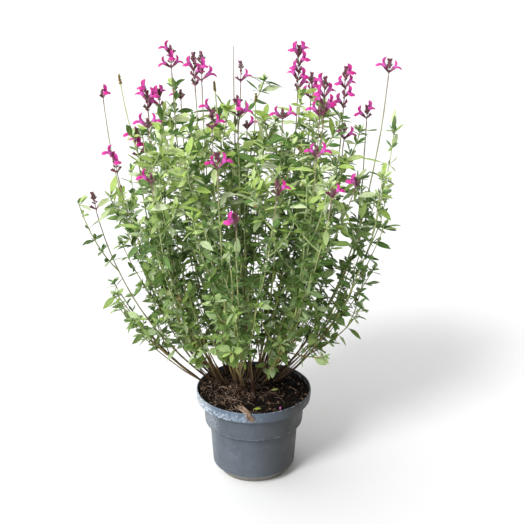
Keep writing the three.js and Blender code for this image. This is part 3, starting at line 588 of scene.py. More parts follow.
class LeafForm:
    """A leaf of unit length as rings of points, with its widest half-width as one."""

    def __init__(self, runs, columns, teeth=0.0):
        self.run = column(*runs)
        self.across = round_blade(columns)
        self.upper = np.append(np.ones(columns), np.zeros(columns - 2))
        blade = np.clip((self.run - LEAF.stalk) / (1 - LEAF.stalk), 0, 1)
        self.width = np.sin(math.pi * blade**0.88) ** 0.85 * (1 - 0.1 * blade)
        notch = teeth * (-1.0) ** np.arange(len(runs))[:, None] * (self.width > 0.3)
        self.width = self.width * (1 + notch)


LARGE_LEAF = LeafForm([0, 0.1, 0.2, 0.32, 0.45, 0.58, 0.72, 0.87], 5, teeth=0.03)
MIDDLE_LEAF = LeafForm([0, 0.12, 0.26, 0.42, 0.58, 0.74, 0.88], 3)
SMALL_LEAF = LeafForm([0, 0.27, 0.52, 0.78], 3)
LEAF_VALUES = ("tint", "young", "rib", "run")


def add_leaf(batch, place, form, length, ratio, arch, tint, young, fold, twist=0.0, thickness=0.34):
    """A leaf that arches down from its stalk, folded along its midrib and a little twisted."""
    half = np.maximum(form.width * ratio * length / 2, 0.5)
    v = form.across
    thick = thickness * (1 - np.abs(v)) * (1 + 1.2 * np.exp(-((v / 0.2) ** 2)) * (1 - form.upper))
    height = half * (fold * np.abs(v) - 0.28 * v**2) + np.where(form.upper > 0, 0.5, -0.5) * thick
    sideways = half * v
    turn = twist * form.run
    flat = sideways * np.cos(turn) - height * np.sin(turn)
    raised = sideways * np.sin(turn) + height * np.cos(turn)
    points = spot(place, form.run * length, flat, raised)
    points = points - (arch * length * form.run**2)[..., None] * UP
    tip = place.root + place.out * length - UP * arch * length
    values = dict(tint=tint, young=min(1, young), rib=np.abs(v), run=form.run)
    batch.skin(points, "strip", "tip", [tip], **values)


CAD_LOW, CAD_HIGH = (np.array(corner) / MM for corner in cad_box)


def in_box(point):
    """Whether a leaf's tip may stand here."""
    return bool(np.all(point > CAD_LOW + BOX_MARGIN) and np.all(point < CAD_HIGH - BOX_MARGIN))


def youth_and_light(level, left):
    """How young and yellow a leaf is: most at the top and the foot of the shrub and at the tips. At the top
    and the foot this is partly painted light, paling the leaves as if they were better lit.
    """
    return float(np.interp(level, *YOUTH_AND_LIGHT)) + 0.35 * math.exp(-left / 40)


def add_node_leaf(batch, station, side, keys, form, scale):
    """One leaf of a pair, posed as the CAD's first choice."""

    def drawn(what, *attempt):
        return mix(*vars(LEAF_RANGE)[what], draw(*keys, side, vars(DRAW)[what], *attempt))

    sides = side_directions(station)
    outward, level = sides[side], station.centre[2]
    lift, swing, roll = (math.radians(drawn(what, 0)) for what in ("lift", "swing", "roll"))
    out = outward * math.cos(lift) + station.along * math.sin(lift)
    out = unit(turned_about(out, station.along, swing))
    length = scale * drawn("length") * np.interp(level, *LEAF_GROWTH)
    root = station.centre + outward * station.radius * math.sqrt(0.5)
    if not in_box(root + out * length):
        return
    add_leaf(
        batch, place_at(root, out, sides[(side + 1) % 4], roll), form, length,
        ratio=np.interp(level, *LEAF_RATIO) + drawn("ratio"), young=youth_and_light(level, station.left),
        **{what: drawn(what) for what in ("arch", "tint", "fold", "twist")},
    )


def add_axil_tuft(batch, station, outward, rng):
    """A few small leaves on a short growth in the axil of a leaf."""
    level = station.centre[2]
    axis = unit(outward * 0.7 + station.along * rng.uniform(0.4, 1.1))
    around = square_to(rng.normal(size=3), axis)
    growth = rng.uniform(2, 9)
    for pair in range(rng.integers(1, 3)):
        for turn in (0, math.pi):
            sideways = turned_about(around, axis, turn + pair * math.pi / 2)
            out = leaning(axis, sideways, rng.uniform(0.5, 1.2) / (1 + 0.3 * pair))
            root = station.centre + outward * station.radius * 0.6 + axis * growth * pair / 3
            length = rng.uniform(6, 17) * (1 - 0.16 * pair) * np.interp(level, *TIP_GROWTH)
            if in_box(root + out * length):
                add_leaf(
                    batch, place_at(root, out, np.cross(axis, out), rng.uniform(-0.5, 0.5)), SMALL_LEAF,
                    length, ratio=rng.uniform(0.27, 0.42), arch=rng.uniform(0, 0.35), tint=rng.random(),
                    young=min(1, youth_and_light(level, station.left) + rng.uniform(0, 0.3)),
                    fold=rng.uniform(0.2, 0.6), thickness=0.3,
                )


def add_tip_leaves(batch, stem, rng, vigour):
    """The young pairs that still stand close together at a growing tip."""
    station = stem.station(stem.count)
    level = station.centre[2]
    for pair, length in enumerate(vigour * np.interp(level, *TIP_GROWTH) * vec(17, 13, 9)):
        root = station.centre + station.along * (pair * 3.0 - 5)
        for side in (pair % 2, pair % 2 + 2):
            lean = mix(1.15, 0.35, pair / 2) + rng.uniform(-0.15, 0.15)
            out = leaning(station.along, side_directions(station)[side], lean)
            if not in_box(root + out * length):
                out = out * (-1, 1, 1)  # at the edge of the box it leans inwards instead
            if in_box(root + out * length):
                add_leaf(
                    batch, place_at(root, out, np.cross(station.along, out), rng.uniform(-0.4, 0.4)),
                    SMALL_LEAF, length * rng.uniform(0.85, 1.15), ratio=rng.uniform(0.3, 0.42),
                    arch=rng.uniform(0, 0.25), tint=rng.random(), young=youth_and_light(level, 0) + 0.2,
                    fold=rng.uniform(0.3, 0.7), thickness=0.3,
                )


def add_foliage(batch, stem, rng, vigour, fine):
    """Leaf pairs at a stem's nodes and, unless the stem is fine, smaller ones half-way between them.

    Each pair stands a quarter turn from the last."""
    on_main = len(stem.keys) == 2 and stem.keys[1] == 0
    lowest = LEAF.lowest_fine_level if fine else LEAF.lowest_level if on_main else LEAF.lowest_side_level
    for half_node in range(1, 2 * stem.count + 1):
        node, between_nodes = divmod(half_node, 2)
        station = stem.station(half_node / 2)
        level = station.centre[2]
        in_front = max(0, -station.centre[1] - 20)
        if station.left < stem.bare or level < lowest + LEAF.front_lift * in_front:
            continue
        if fine and between_nodes:
            continue
        keys = [*stem.keys, node + 300 * between_nodes]
        small = rng.uniform(0.6, 1.0)
        for side in ((1, 3) if node % 2 else (0, 2)):
            side = (side + between_nodes) % 4
            if (node, side) in stem.offshoots and not between_nodes:
                continue
            if draw(*keys, side, DRAW.share) <= LEAF.share:
                form, scale = (MIDDLE_LEAF, small) if fine or between_nodes else (LARGE_LEAF, 1.0)
                add_node_leaf(batch, station, side, keys, form, vigour * scale)
            if rng.random() < np.interp(level, *TUFT_CHANCE):
                add_axil_tuft(batch, station, side_directions(station)[side], rng)
    if not stem.head and stem.end == "bud":
        add_tip_leaves(batch, stem, rng, vigour)


# ---------------------------------------------------------------- flowers


def ring_points(place, forward, radius, angle, drop=0.0):
    """Rings about a place's out axis."""
    return spot(place, forward, radius * np.cos(angle), radius * np.sin(angle) - drop)


CALYX_ANGLE = circle(16)
CALYX_TEETH = [(90, 70, 1.0), (-42, 42, 0.9), (-138, 42, 0.9)]  # middle and half-width in degrees, length


def calyx_mouth():
    """How far the two-lipped mouth stands out at each angle, from 0 to 1."""
    stand = np.zeros(len(CALYX_ANGLE))
    for middle, half, length in CALYX_TEETH:
        off = np.abs((np.degrees(CALYX_ANGLE) - middle + 180) % 360 - 180)
        stand = np.maximum(stand, length * np.clip(1 - off / half, 0, 1) ** 0.8)
    return stand


def add_calyx(batch, place, length, radius, tint, bloom):
    """A ribbed bell with one broad upper tooth and two lower ones, hollow down to its middle."""
    ribs = 1 + 0.05 * np.cos(len(CALYX_ANGLE) / 2 * CALYX_ANGLE)
    shares = column(0, 0.1, 0.24, 0.42, 0.6, 0.74, 0.8, 0.8, 0.78, 0.7, 0.4)
    reach = column(0, 0, 0, 0, 0, 0, 0.45, 1, 0.96, 0.4, 0)
    girth = column(0.28, 0.4, 0.56, 0.74, 0.88, 0.98, 1.06, 1.2, 1.12, 0.9, 0.55)
    forward = shares * length + reach * calyx_mouth() * 0.26 * length
    rings = ring_points(place, forward, girth * ribs * radius, CALYX_ANGLE)
    batch.skin(rings, tint=tint, bloom=bloom * mix(0.1, 1, shares))


def add_spindle(batch, place, length, radius, **values):
    """A closed bud, ribbed and pointed."""
    angle = circle(6)
    shares = column(0, 0.14, 0.38, 0.66, 0.88)
    girth = column(0.35, 0.62, 0.98, 0.92, 0.45)
    ribs = 1 + 0.08 * np.cos(3 * angle)
    rings = ring_points(place, shares * length, girth * ribs * radius, angle)
    batch.skin(rings, "cap", "tip", [spot(place, length, 0, 0)], **values)


def add_petal(batch, place, form, size, columns, notch, **values):
    """A petal over a path of (forward, upward) points.

    Each point has a half-width and a cup: the angle by which each side bends back from the face.
    """
    v = round_blade(columns)
    outer = np.append(np.ones(columns), -np.ones(columns - 2)) * (np.abs(v) < 1)
    path = (np.array(form.path) - form.root) * size
    shares = np.linspace(0, 1, len(path))
    reach = shares[:, None] * (1 - 0.22 * v**2 - notch * np.exp(-((v / 0.25) ** 2)))
    forward, upward = (np.interp(reach, shares, axis) for axis in path.T)
    heading = unit(np.gradient(path, axis=0))
    cup = column(*form.cups)
    bow = column(*form.half_widths) * size / cup
    raised = bow * (np.cos(v * cup) - 1) + outer * FLOWER.petal_thickness / 2 * (1 - v**2)
    rings = spot(
        place, forward - raised * heading[:, 1:], bow * np.sin(v * cup), upward + raised * heading[:, :1]
    )
    batch.skin(rings, "strip", "strip", **values)


HOOD = Values(
    path=[(14.6, 1.4), (16.6, 2.5), (18.5, 3.9), (20.0, 5.6), (21.2, 7.4), (21.9, 9.0)],
    half_widths=[3.6, 4.8, 5.6, 5.6, 4.8, 3.0],
    cups=[1.5, 1.6, 1.7, 1.7, 1.6, 1.3],
    root=(0, 0),
)
LIP = Values(
    path=[
        (15.0, -1.8), (17.3, -2.6), (19.1, -4.2), (20.0, -6.3), (20.2, -8.6), (19.7, -10.9), (18.7, -12.9),
    ],
    half_widths=[3.0, 4.8, 6.0, 5.8, 7.4, 8.2, 6.4],
    cups=[1.2, 1.1, 0.95, 0.85, 0.75, 0.75, 0.7],
    root=(0, 0),
)
LIP_NOTCH = 0.16
STYLE_PATH = [(17, 1.8), (19.4, 3.8), (21.4, 6.2), (22.6, 8.6), (23.6, 10.2)]


def add_corolla(batch, place, rng):
    """A magenta corolla: a tube with a pouch below, an upright hood, a spreading lip and a style."""
    size = rng.uniform(0.85, 1.03)
    tint = rng.random()
    forward = column(4, 6.5, 9, 11.5, 13.8, 15.6, 16.8, 16.4, 14.5, 12) * size
    radius = column(1.2, 1.7, 2.3, 2.9, 3.4, 3.6, 3.4, 2.9, 2.4, 1.5) * size
    drop = column(0, 0, 0.1, 0.4, 0.6, 0.5, 0.2, 0.2, 0.4, 0.2) * size
    reach = column(0, 0.08, 0.16, 0.24, 0.32, 0.4, 0.48, 0.3, 0.1, 0)
    batch.skin(ring_points(place, forward, radius, circle(12), drop), reach=reach, tint=tint)
    for form, columns, notch, first in ((HOOD, 7, 0.0, 0.4), (LIP, 11, LIP_NOTCH, 0.55)):
        reach = np.linspace(first, 1, len(form.path))[:, None]
        add_petal(batch, place, form, size, columns, notch, reach=reach, tint=tint)
    path = np.array(STYLE_PATH) * size
    middle = spot(place, path[:, 0], 0, path[:, 1])
    rights = np.tile(place.right, (len(middle), 1))
    headings = unit(np.gradient(middle, axis=0))
    tube(batch, middle, rights, headings, [0.3, 0.28, 0.26, 0.24, 0.2], reach=0.35, tint=tint)


class Raceme(Stem):
    """The rachis that carries on from a stem and turns upright, with its whorls."""

    def __init__(self, stem):
        whorls, length, turn = stem.head
        self.whorls = whorls.split()
        end = stem.station(stem.count)
        start = end.centre + end.along * SEAT
        via = start + end.along * RACHIS.straight * length
        curve = Curve(start, via, via + unit(mix(end.along, UP, 0.5)) * (1 - RACHIS.straight) * length)
        right = np.cross(bearing(math.radians(turn)), end.along)
        super().__init__(curve, stem.keys, length / len(self.whorls), RACHIS.radius, right)
        self.count = len(self.whorls)

    def place(self, node, side, lean):
        """Where something leaves one side of the rachis and leans away from it."""
        station = self.station(node)
        sides = side_directions(station)
        root = station.centre + sides[side] * station.radius * math.sqrt(0.5)
        return place_at(root, leaning(station.along, sides[side], lean), sides[(side + 1) % 4])

    def grow(self, green, magenta, rng):
        """Puts the rachis, calyces and buds in one batch and the corollas in the other."""
        count = self.count
        steps = np.arange(4 * count + 1)
        centres, alongs, rights = self.walk(steps / 4)[:3]
        taper = mix(RACHIS.radius, RACHIS.tip_radius, steps / steps[-1])
        tube(green, centres, rights, alongs, taper * np.where(steps % 4, 0.9, 1.2), tint=0.5, bloom=0.1)
        for node, whorl in enumerate(self.whorls, start=1):
            lean = math.radians(mix(RACHIS.lowest_lean, RACHIS.top_lean, node / count))
            here, between = ((2, 0), (1, 3)) if node % 2 else ((1, 3), (2, 0))
            for side, kind in zip(here, whorl):
                place = self.place(node, side, lean * rng.uniform(0.75, 1.2))
                tint = rng.random()
                if kind == "f":
                    add_calyx(green, place, FLOWER.calyx, FLOWER.calyx_radius, tint, 0.6)
                    add_corolla(magenta, place, rng)
                elif kind == "c":
                    add_calyx(green, place, CALYX.length, CALYX.radius, tint, rng.random())
                elif kind == "b":
                    add_spindle(green, place, BUD.length, BUD.radius, tint=tint, bloom=0.5)
            for side in between:
                if rng.random() < EXTRA.chance:
                    place = self.place(node - 0.25, side, lean * rng.uniform(0.7, 1.2))
                    size = rng.uniform(0.7, 1.0) * mix(1, 0.65, node / count)
                    if rng.random() < EXTRA.calyx_chance and node < count:
                        length, radius = EXTRA.calyx * size, EXTRA.calyx_radius * size
                        add_calyx(green, place, length, radius, rng.random(), rng.random())
                    else:
                        length, radius = EXTRA.bud * size, EXTRA.bud_radius * size
                        add_spindle(green, place, length, radius, tint=rng.random(), bloom=0.5)
        for pair in range(TIP_BUDS.pairs):
            size = 1 - TIP_BUDS.shrink * pair
            step = alongs[-1] * (TIP_BUDS.step * pair - TIP_BUDS.below)
            for side in (pair % 2, pair % 2 + 2):
                place = self.place(count - 0.02, side, size - 0.25)
                place = place._replace(root=place.root + step)
                length, radius = TIP_BUDS.length * size, TIP_BUDS.radius * size
                add_spindle(green, place, length, radius, tint=rng.random(), bloom=0.12)


def add_spent_head(batch, stem, rng):
    """An old head at a stem's end: pairs of small dry calyces pressed to the axis."""
    station = stem.station(stem.count)
    centres = station.centre + np.outer(np.linspace(-1, 14, 6), station.along)
    rights, alongs = (np.tile(axis, (6, 1)) for axis in (station.right, station.along))
    tube(batch, centres, rights, alongs, np.linspace(0.8, 0.5, 6), tint=0.3)
    for pair in range(6):
        for side in (pair % 2, pair % 2 + 2):
            outward = side_directions(station)[side]
            out = leaning(station.along, outward, mix(0.5, 0.2, pair / 5))
            root = station.centre + station.along * (pair * 2.3) + outward * 0.5
            place = place_at(root, out, np.cross(outward, station.along))
            add_spindle(batch, place, rng.uniform(3.8, 5.2), rng.uniform(1.1, 1.4), tint=rng.random())


# ---------------------------------------------------------------- pot


def rounded(outline, radius, steps=4):
    """An outline with its corners rounded. Its first and last points stay."""
    points = [vec(*point) for point in outline]
    smooth = [points[0]]
    for before, corner, after in zip(points, points[1:], points[2:]):
        back, ahead = before - corner, after - corner
        cut = min(radius, 0.45 * np.linalg.norm(back), 0.45 * np.linalg.norm(ahead))
        curve = Curve(corner + unit(back) * cut, corner, corner + unit(ahead) * cut)
        smooth += [curve.at(t) for t in np.linspace(0, 1, steps)]
    return np.array([*smooth, points[-1]])


def pot_outline():
    """The pot's outer and inner outline as (radius, height) pairs, from its axis out and back."""
    pot, wall = POT, POT.wall
    outside = [
        (0.5, 0),
        (pot.foot_radius - 0.8, 0),
        (pot.foot_radius, 0.7),
        (pot.foot_radius + 1.2, 5),
        (pot.foot_radius + 3, 6.2),
        (pot.body_base_radius, pot.foot_height),
        (pot.body_top_radius, STEP - 1.5),
        (pot.shoulder_radius - 1.2, STEP - 0.6),
        (pot.shoulder_radius, STEP),
        (pot.shoulder_top_radius, BAND_FOOT - 0.5),
        (pot.rim_radius - 2.4, BAND_FOOT - 0.2),
        (pot.rim_radius - 1.2, BAND_FOOT + 0.6),
        (pot.rim_radius, pot.height - 5),
    ]
    inside = [
        (pot.rim_radius - 0.8, pot.height),
        (pot.rim_radius - 0.4 - wall, pot.height),
        (pot.rim_radius - 1.6 - wall, BAND_FOOT + wall),
        (pot.shoulder_top_radius - wall, BAND_FOOT + wall - 0.5),
        (pot.shoulder_radius - wall, STEP + wall),
        (pot.body_top_radius - wall, STEP + wall - 1.5),
        (pot.body_base_radius - wall, pot.foot_height + 1),
        (pot.foot_radius - wall, pot.floor),
        (0.5, pot.floor),
    ]
    return outside, inside


def turned(outline, around):
    """Rings of points about Z from (radius, height) pairs. A height may change round its ring."""
    angle = circle(around)
    rings = [(r * np.cos(angle), r * np.sin(angle), z + 0 * angle) for r, z in outline]
    return np.moveaxis(np.array(rings), 1, -1)


def cut_drain_holes(pot):
    """Cuts the holes in the pot's floor."""
    drills = Batch()
    outline = np.array([(0.2, -1), (1, -1), (1, 2), (0.2, 2)]) * (POT.drain_radius, POT.floor)
    for angle in circle(POT.drain_holes):
        drills.skin(turned(outline, 24) + POT.drain_circle * bearing(angle))
    tool = bpy.data.objects.new("drills", drills.mesh("drills"))
    bpy.context.collection.objects.link(tool)
    cut = pot.modifiers.new("drain holes", "BOOLEAN")
    cut.operation, cut.solver, cut.object = "DIFFERENCE", "EXACT", tool
    result = bpy.data.meshes.new_from_object(pot.evaluated_get(bpy.context.evaluated_depsgraph_get()))
    pot.modifiers.remove(cut)
    pot.data = result
    bpy.data.objects.remove(tool)


def make_pot(material):
    outside, inside = pot_outline()
    batch = Batch()
    batch.skin(turned(rounded(outside + inside, POT.edge), 128))
    cut_drain_holes(batch.piece("pot_shell", material, "pot", "pot", sharp_angle=34))


# ---------------------------------------------------------------- compost


def lumps(x, y, cell, seed):
    """Smooth random heights from -1 to 1 on a grid of cells."""
    table = np.random.default_rng(seed).uniform(-1, 1, (64, 64))
    gx, gy = x / cell, y / cell
    ix, iy = np.floor(gx).astype(int), np.floor(gy).astype(int)
    fx, fy = gx - ix, gy - iy
    fx, fy = fx * fx * (3 - 2 * fx), fy * fy * (3 - 2 * fy)
    low, high = (mix(table[ix % 64, row % 64], table[(ix + 1) % 64, row % 64], fx) for row in (iy, iy + 1))
    return mix(low, high, fy)


def compost_height(x, y):
    """The CAD's mound and lumps, with crumbs and grains on top."""
    away = np.hypot(x - CROWN.x, y - CROWN.y) / COMPOST.mound_radius
    waves = np.sin(x / 7.1 + 1.3) * np.cos(y / 6.3) + 0.6 * np.sin((x + y) / 4.7)
    height = COMPOST.level + COMPOST.mound * np.exp(-(away**2)) + COMPOST.roughness * waves
    return height + 1.3 * lumps(x, y, 6.1, 1) + 1.0 * lumps(x, y, 2.9, 2) + 0.6 * lumps(x, y, 1.4, 3)


def make_compost(material):
    """The filling of the pot: smooth where the pot hides it, rough on top."""
    around, rings, gap = 180, 66, SEAT + 0.05
    outline = [(max(radius - gap, 0.3), height + gap) for radius, height in pot_outline()[1][:1:-1]]
    mouth = outline.pop()[0]
    angle = circle(around)
    for radius in (mouth, *np.linspace(mouth - 0.6, 0.5, rings)):
        outline.append((radius, compost_height(radius * np.cos(angle), radius * np.sin(angle))))
    batch = Batch()
    batch.skin(turned(outline, around))
    batch.piece("compost_bed", material, "compost", "compost", sharp_angle=180)
    return mouth


def on_compost(rng, count, mouth):
    """Random places on the compost, even over its face."""
    radius = (mouth - 3) * np.sqrt(rng.random(count))
    angle = math.tau * rng.random(count)
    x, y = radius * np.cos(angle), radius * np.sin(angle)
    return x, y, compost_height(x, y)


def make_crumbs(material, mouth):
    """Loose crumbs of bark and peat."""
    rng = np.random.default_rng(SEEDS.crumbs)
    batch = Batch("tint")
    for x, y, z in zip(*on_compost(rng, COMPOST.crumbs, mouth)):
        size = 0.4 + 1.7 * rng.random() ** 4
        out = unit(rng.normal(size=3))
        place = place_at(vec(x, y, z + 0.3 * size), out, rng.normal(size=3))
        forward = column(-0.4, 0.5) * size * rng.uniform(0.7, 1.8)
        radius = size * rng.uniform(0.6, 1.1, (2, 5))
        tips = [spot(place, reach * size, 0, 0) for reach in (-1.0, 1.1)]
        rings = ring_points(place, forward, radius, circle(5))
        batch.skin(rings, "tip", "tip", tips, tint=rng.random() ** 1.8)
    batch.piece("compost_crumbs", material, "compost", "compost")


def add_fibre(batch, points, radius, tint):
    """A thin root or strand along points."""
    heading = unit(np.gradient(points, axis=0))
    right = unit(np.cross(heading, UP) + 1e-3)
    up = np.cross(heading, right)
    angle = circle(3)
    taper = radius * np.linspace(1, 0.4, len(points))[:, None]
    sideways = (taper * np.cos(angle))[..., None] * right[:, None]
    batch.skin(points[:, None] + sideways + (taper * np.sin(angle))[..., None] * up[:, None], tint=tint)


def lying_path(rng, x, y, heading, length, lift, mouth, steps):
    """Points of a bent strand that lies on the compost and rises a little in its middle."""
    share = np.linspace(0, 1, steps)
    run = (share - 0.5) * length
    bend = rng.normal(0, 0.22) * length * 4 * share * (1 - share)
    px = x + run * math.cos(heading) - bend * math.sin(heading)
    py = y + run * math.sin(heading) + bend * math.cos(heading)
    shrink = np.minimum(1, (mouth - 2) / np.maximum(np.hypot(px, py), 1))
    px, py = px * shrink, py * shrink
    return np.stack([px, py, compost_height(px, py) + lift * np.sin(math.pi * share) + 0.2], -1)


def make_fibres(material, mouth):
    """Roots and dry strands that lie on the compost, with a mat of them round the crown."""
    rng = np.random.default_rng(SEEDS.fibres)
    batch = Batch("tint")
    for i in range(COMPOST.mat_fibres + COMPOST.loose_fibres):
        if i < COMPOST.mat_fibres:
            x, y = -30 + rng.normal(0, 30), -2 + rng.normal(0, 30)
            heading = math.atan2(y - CROWN.y, x - CROWN.x) + rng.normal(0, 0.7)
            lift, length, tint = rng.uniform(0.5, 6), rng.uniform(6, 26), rng.random() ** 1.2
        else:
            x, y, _ = (float(value[0]) for value in on_compost(rng, 1, mouth))
            heading, lift, length = rng.uniform(0, math.tau), rng.uniform(0.5, 2.5), rng.uniform(5, 20)
            tint = rng.random() ** 2
        path = lying_path(rng, x, y, heading, length, lift, mouth, 5)
        add_fibre(batch, path, rng.uniform(0.13, 0.38), tint)
    for _ in range(COMPOST.roots):
        x, y = 3 + rng.normal(0, 16), -14 + rng.normal(0, 14)
        path = lying_path(rng, x, y, rng.uniform(0, math.tau), rng.uniform(5, 14), 3, mouth, 4)
        add_fibre(batch, path, rng.uniform(0.6, 1.2), rng.uniform(0.4, 0.9))
    batch.piece("compost_fibres", material, "compost", "compost")


def make_root_tuft(material):
    """Root fibres that run over the compost, slant across the rim at the front and hang down."""
    rng = np.random.default_rng(SEEDS.tuft)
    batch = Batch("tint")
    rim, top = POT.rim_radius, POT.height
    start, over, tip, drop = ROOT_TUFT.start, ROOT_TUFT.over, ROOT_TUFT.tip, ROOT_TUFT.drop
    route = np.array([
        (start, rim - 33, top - 4.5),
        (mix(start, over, 0.4), rim - 21, top - 3.5),
        (mix(start, over, 0.75), rim - 9, top - 0.5),
        (over - 2, rim - 3, top + 0.7),
        (over, rim + 0.4, top + 0.5),
        (mix(over, tip, 0.35), rim + 1.1, top - 0.35 * drop),
        (mix(over, tip, 0.7), rim + 1.2, top - 0.7 * drop),
        (tip, rim + 1.0, top - drop),
    ])
    marks = np.linspace(0, 1, len(route))
    for _ in range(ROOT_TUFT.strands):
        steps = np.linspace(rng.uniform(0, 0.5), rng.uniform(0.72, 1.0), 9)
        x, radius, height = (np.interp(steps, marks, axis) for axis in route.T)
        fray = rng.normal(0, 1) * (0.9 + 3.2 * np.abs(steps - 0.55)) + rng.normal(0, 0.25, 9)
        x = x + ROOT_TUFT.width / 4 * fray
        lift = rng.uniform(0, ROOT_TUFT.thickness) + rng.uniform(0, 0.3, 9)
        on_rim = steps > marks[3]
        radius = radius + lift * on_rim
        y = -np.sqrt(radius**2 - x**2)
        ground = np.where(radius < rim - 6, compost_height(x, y) + 0.3, 0)
        height = np.maximum(height + lift * ~on_rim, ground)
        add_fibre(batch, np.stack([x, y, height], -1), rng.uniform(0.2, 0.42), rng.random())
    batch.piece("root_tuft_fibres", material, "root_fibre", "root_tuft")


def make_fallen_leaves(leaf_material, petal_material):
    """Yellowed leaves and petals on the compost."""
    rng = np.random.default_rng(SEEDS.fallen)
    for number, leaf in enumerate(FALLEN_LEAVES, start=1):
        node = f"fallen_leaf_{number:02d}"
        out = bearing(math.radians(leaf.heading), 0.06)
        start = vec(*leaf.at, 0) - out * leaf.length / 2
        start[2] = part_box(node)[0][2] / MM + 1.0
        place = place_at(start, unit(out), vec(-out[1], out[0], 0), 0.1)
        batch = Batch(*LEAF_VALUES)
        add_leaf(
            batch, place, LARGE_LEAF, leaf.length, ratio=0.5, arch=0.02, tint=leaf.tint,
            young=leaf.young, fold=0.35,
        )
        batch.piece(f"{node}_blade", leaf_material, "fallen_leaves", node)
    batch = Batch("tint", "reach")
    lip = Values(**{**vars(LIP), "root": (17.5, -4.5)})
    for petal in PETALS:
        out = bearing(math.radians(petal.heading))
        root = vec(*petal.at, compost_height(*petal.at) + 7.5 * petal.size)
        place = Place(root, out, vec(-out[1], out[0], 0), UP)
        add_petal(batch, place, lip, petal.size, 9, LIP_NOTCH, reach=petal.reach, tint=rng.random())
    batch.piece("fallen_petals", petal_material, "flowers")


# ---------------------------------------------------------------- materials


def paint(colour):
    """A colour given as it looks on a screen, from 0 to 255, as Blender's linear one.

    Anything else stays as it is."""
    if not isinstance(colour, tuple) or len(colour) != 3:
        return colour
    shares = np.array(colour) / 255
    linear = np.where(shares <= 0.04045, shares / 12.92, ((shares + 0.055) / 1.055) ** 2.4)
    return (*linear.tolist(), 1)


class Signal:
    """What a node gives, with the usual arithmetic."""

    def __init__(self, nodes, socket):
        self.nodes, self.socket = nodes, socket

    def math(self, operation, other=0.0):
        return self.nodes.add("Math", 0, {0: self, 1: other}, operation=operation)

    def __add__(self, other):
        return self.math("ADD", other)

    def __sub__(self, other):
        return self.math("SUBTRACT", other)

    def __mul__(self, other):
        return self.math("MULTIPLY", other)

    def __truediv__(self, other):
        return self.math("DIVIDE", other)


class Nodes:
    """The nodes of a material or a sky."""

    def __init__(self, block):
        block.use_nodes = True
        self.tree = block.node_tree

    def feed(self, socket, source):
        if isinstance(source, Signal):
            self.tree.links.new(source.socket, socket)
        else:
            socket.default_value = source

    def add(self, kind, output, inputs, **settings):
        """Adds a node with its settings and inputs, and gives one of its outputs."""
        node = self.tree.nodes.new("ShaderNode" + kind)
        for name, value in settings.items():
            setattr(node, name, value)
        for name, source in inputs.items():
            self.feed(node.inputs[name], source)
        return Signal(self, node.outputs[output])

    def span(self, source, low, high, out_low=0.0, out_high=1.0, **settings):
        """The source's range from low to high, stretched to another range and clamped."""
        inputs = {"Value": source, "From Min": low, "From Max": high, "To Min": out_low, "To Max": out_high}
        return self.add("MapRange", "Result", inputs, **settings)


class Finish(Nodes):
    """A Principled material, with short names for the nodes that drive it."""

    def __init__(self, name, specular, sheen=0.0):
        self.material = bpy.data.materials.new(name)
        super().__init__(self.material)
        self.shader = self.tree.nodes["Principled BSDF"]
        self.coordinates = self.add("TexCoord", "Object", {})
        self.shader.inputs["Specular IOR Level"].default_value = specular
        self.shader.inputs["Sheen Weight"].default_value = sheen

    def value(self, name):
        """A value that the mesh holds."""
        return self.add("Attribute", "Fac", {}, attribute_name=name)

    def axis(self, name):
        return self.add("SeparateXYZ", name, {0: self.coordinates})

    def noise(self, scale, detail=3.0, stretch=(1, 1, 1)):
        mapping = self.add("Mapping", "Vector", {"Vector": self.coordinates, "Scale": stretch})
        return self.add("TexNoise", "Fac", {"Vector": mapping, "Scale": scale, "Detail": detail})

    def grain(self, low, high, *noise):
        """Noise that runs from a low to a high value."""
        return self.span(self.noise(*noise), 0.3, 0.7, low, high)

    def ramp(self, source, *stops):
        """A colour for each value of the source, from (value, colour) stops."""
        node = self.tree.nodes.new("ShaderNodeValToRGB")
        elements = node.color_ramp.elements
        while len(elements) < len(stops):
            elements.new(1)
        for element, (position, colour) in zip(elements, stops):
            element.position = position
            element.color = paint(colour)
        self.feed(node.inputs["Fac"], source)
        return Signal(self, node.outputs["Color"])

    def blend(self, share, a, b, kind="MIX"):
        inputs = {"Factor": share, 6: paint(a), 7: paint(b)}
        return self.add("Mix", 2, inputs, data_type="RGBA", blend_type=kind)

    def mottled(self, colour, low, high, *noise):
        """A colour that noise makes darker and lighter."""
        return self.blend(1.0, colour, self.grain(low, high, *noise), "MULTIPLY")

    def finish(self, colour, roughness, relief=None, distance=0.0002, strength=0.6):
        """Links the colour, the roughness and a bump, and returns the material."""
        self.feed(self.shader.inputs["Base Color"], colour)
        self.feed(self.shader.inputs["Roughness"], roughness)
        if relief:
            inputs = {"Distance": distance, "Strength": strength, "Height": relief}
            self.feed(self.shader.inputs["Normal"], self.add("Bump", "Normal", inputs))
        return self.material


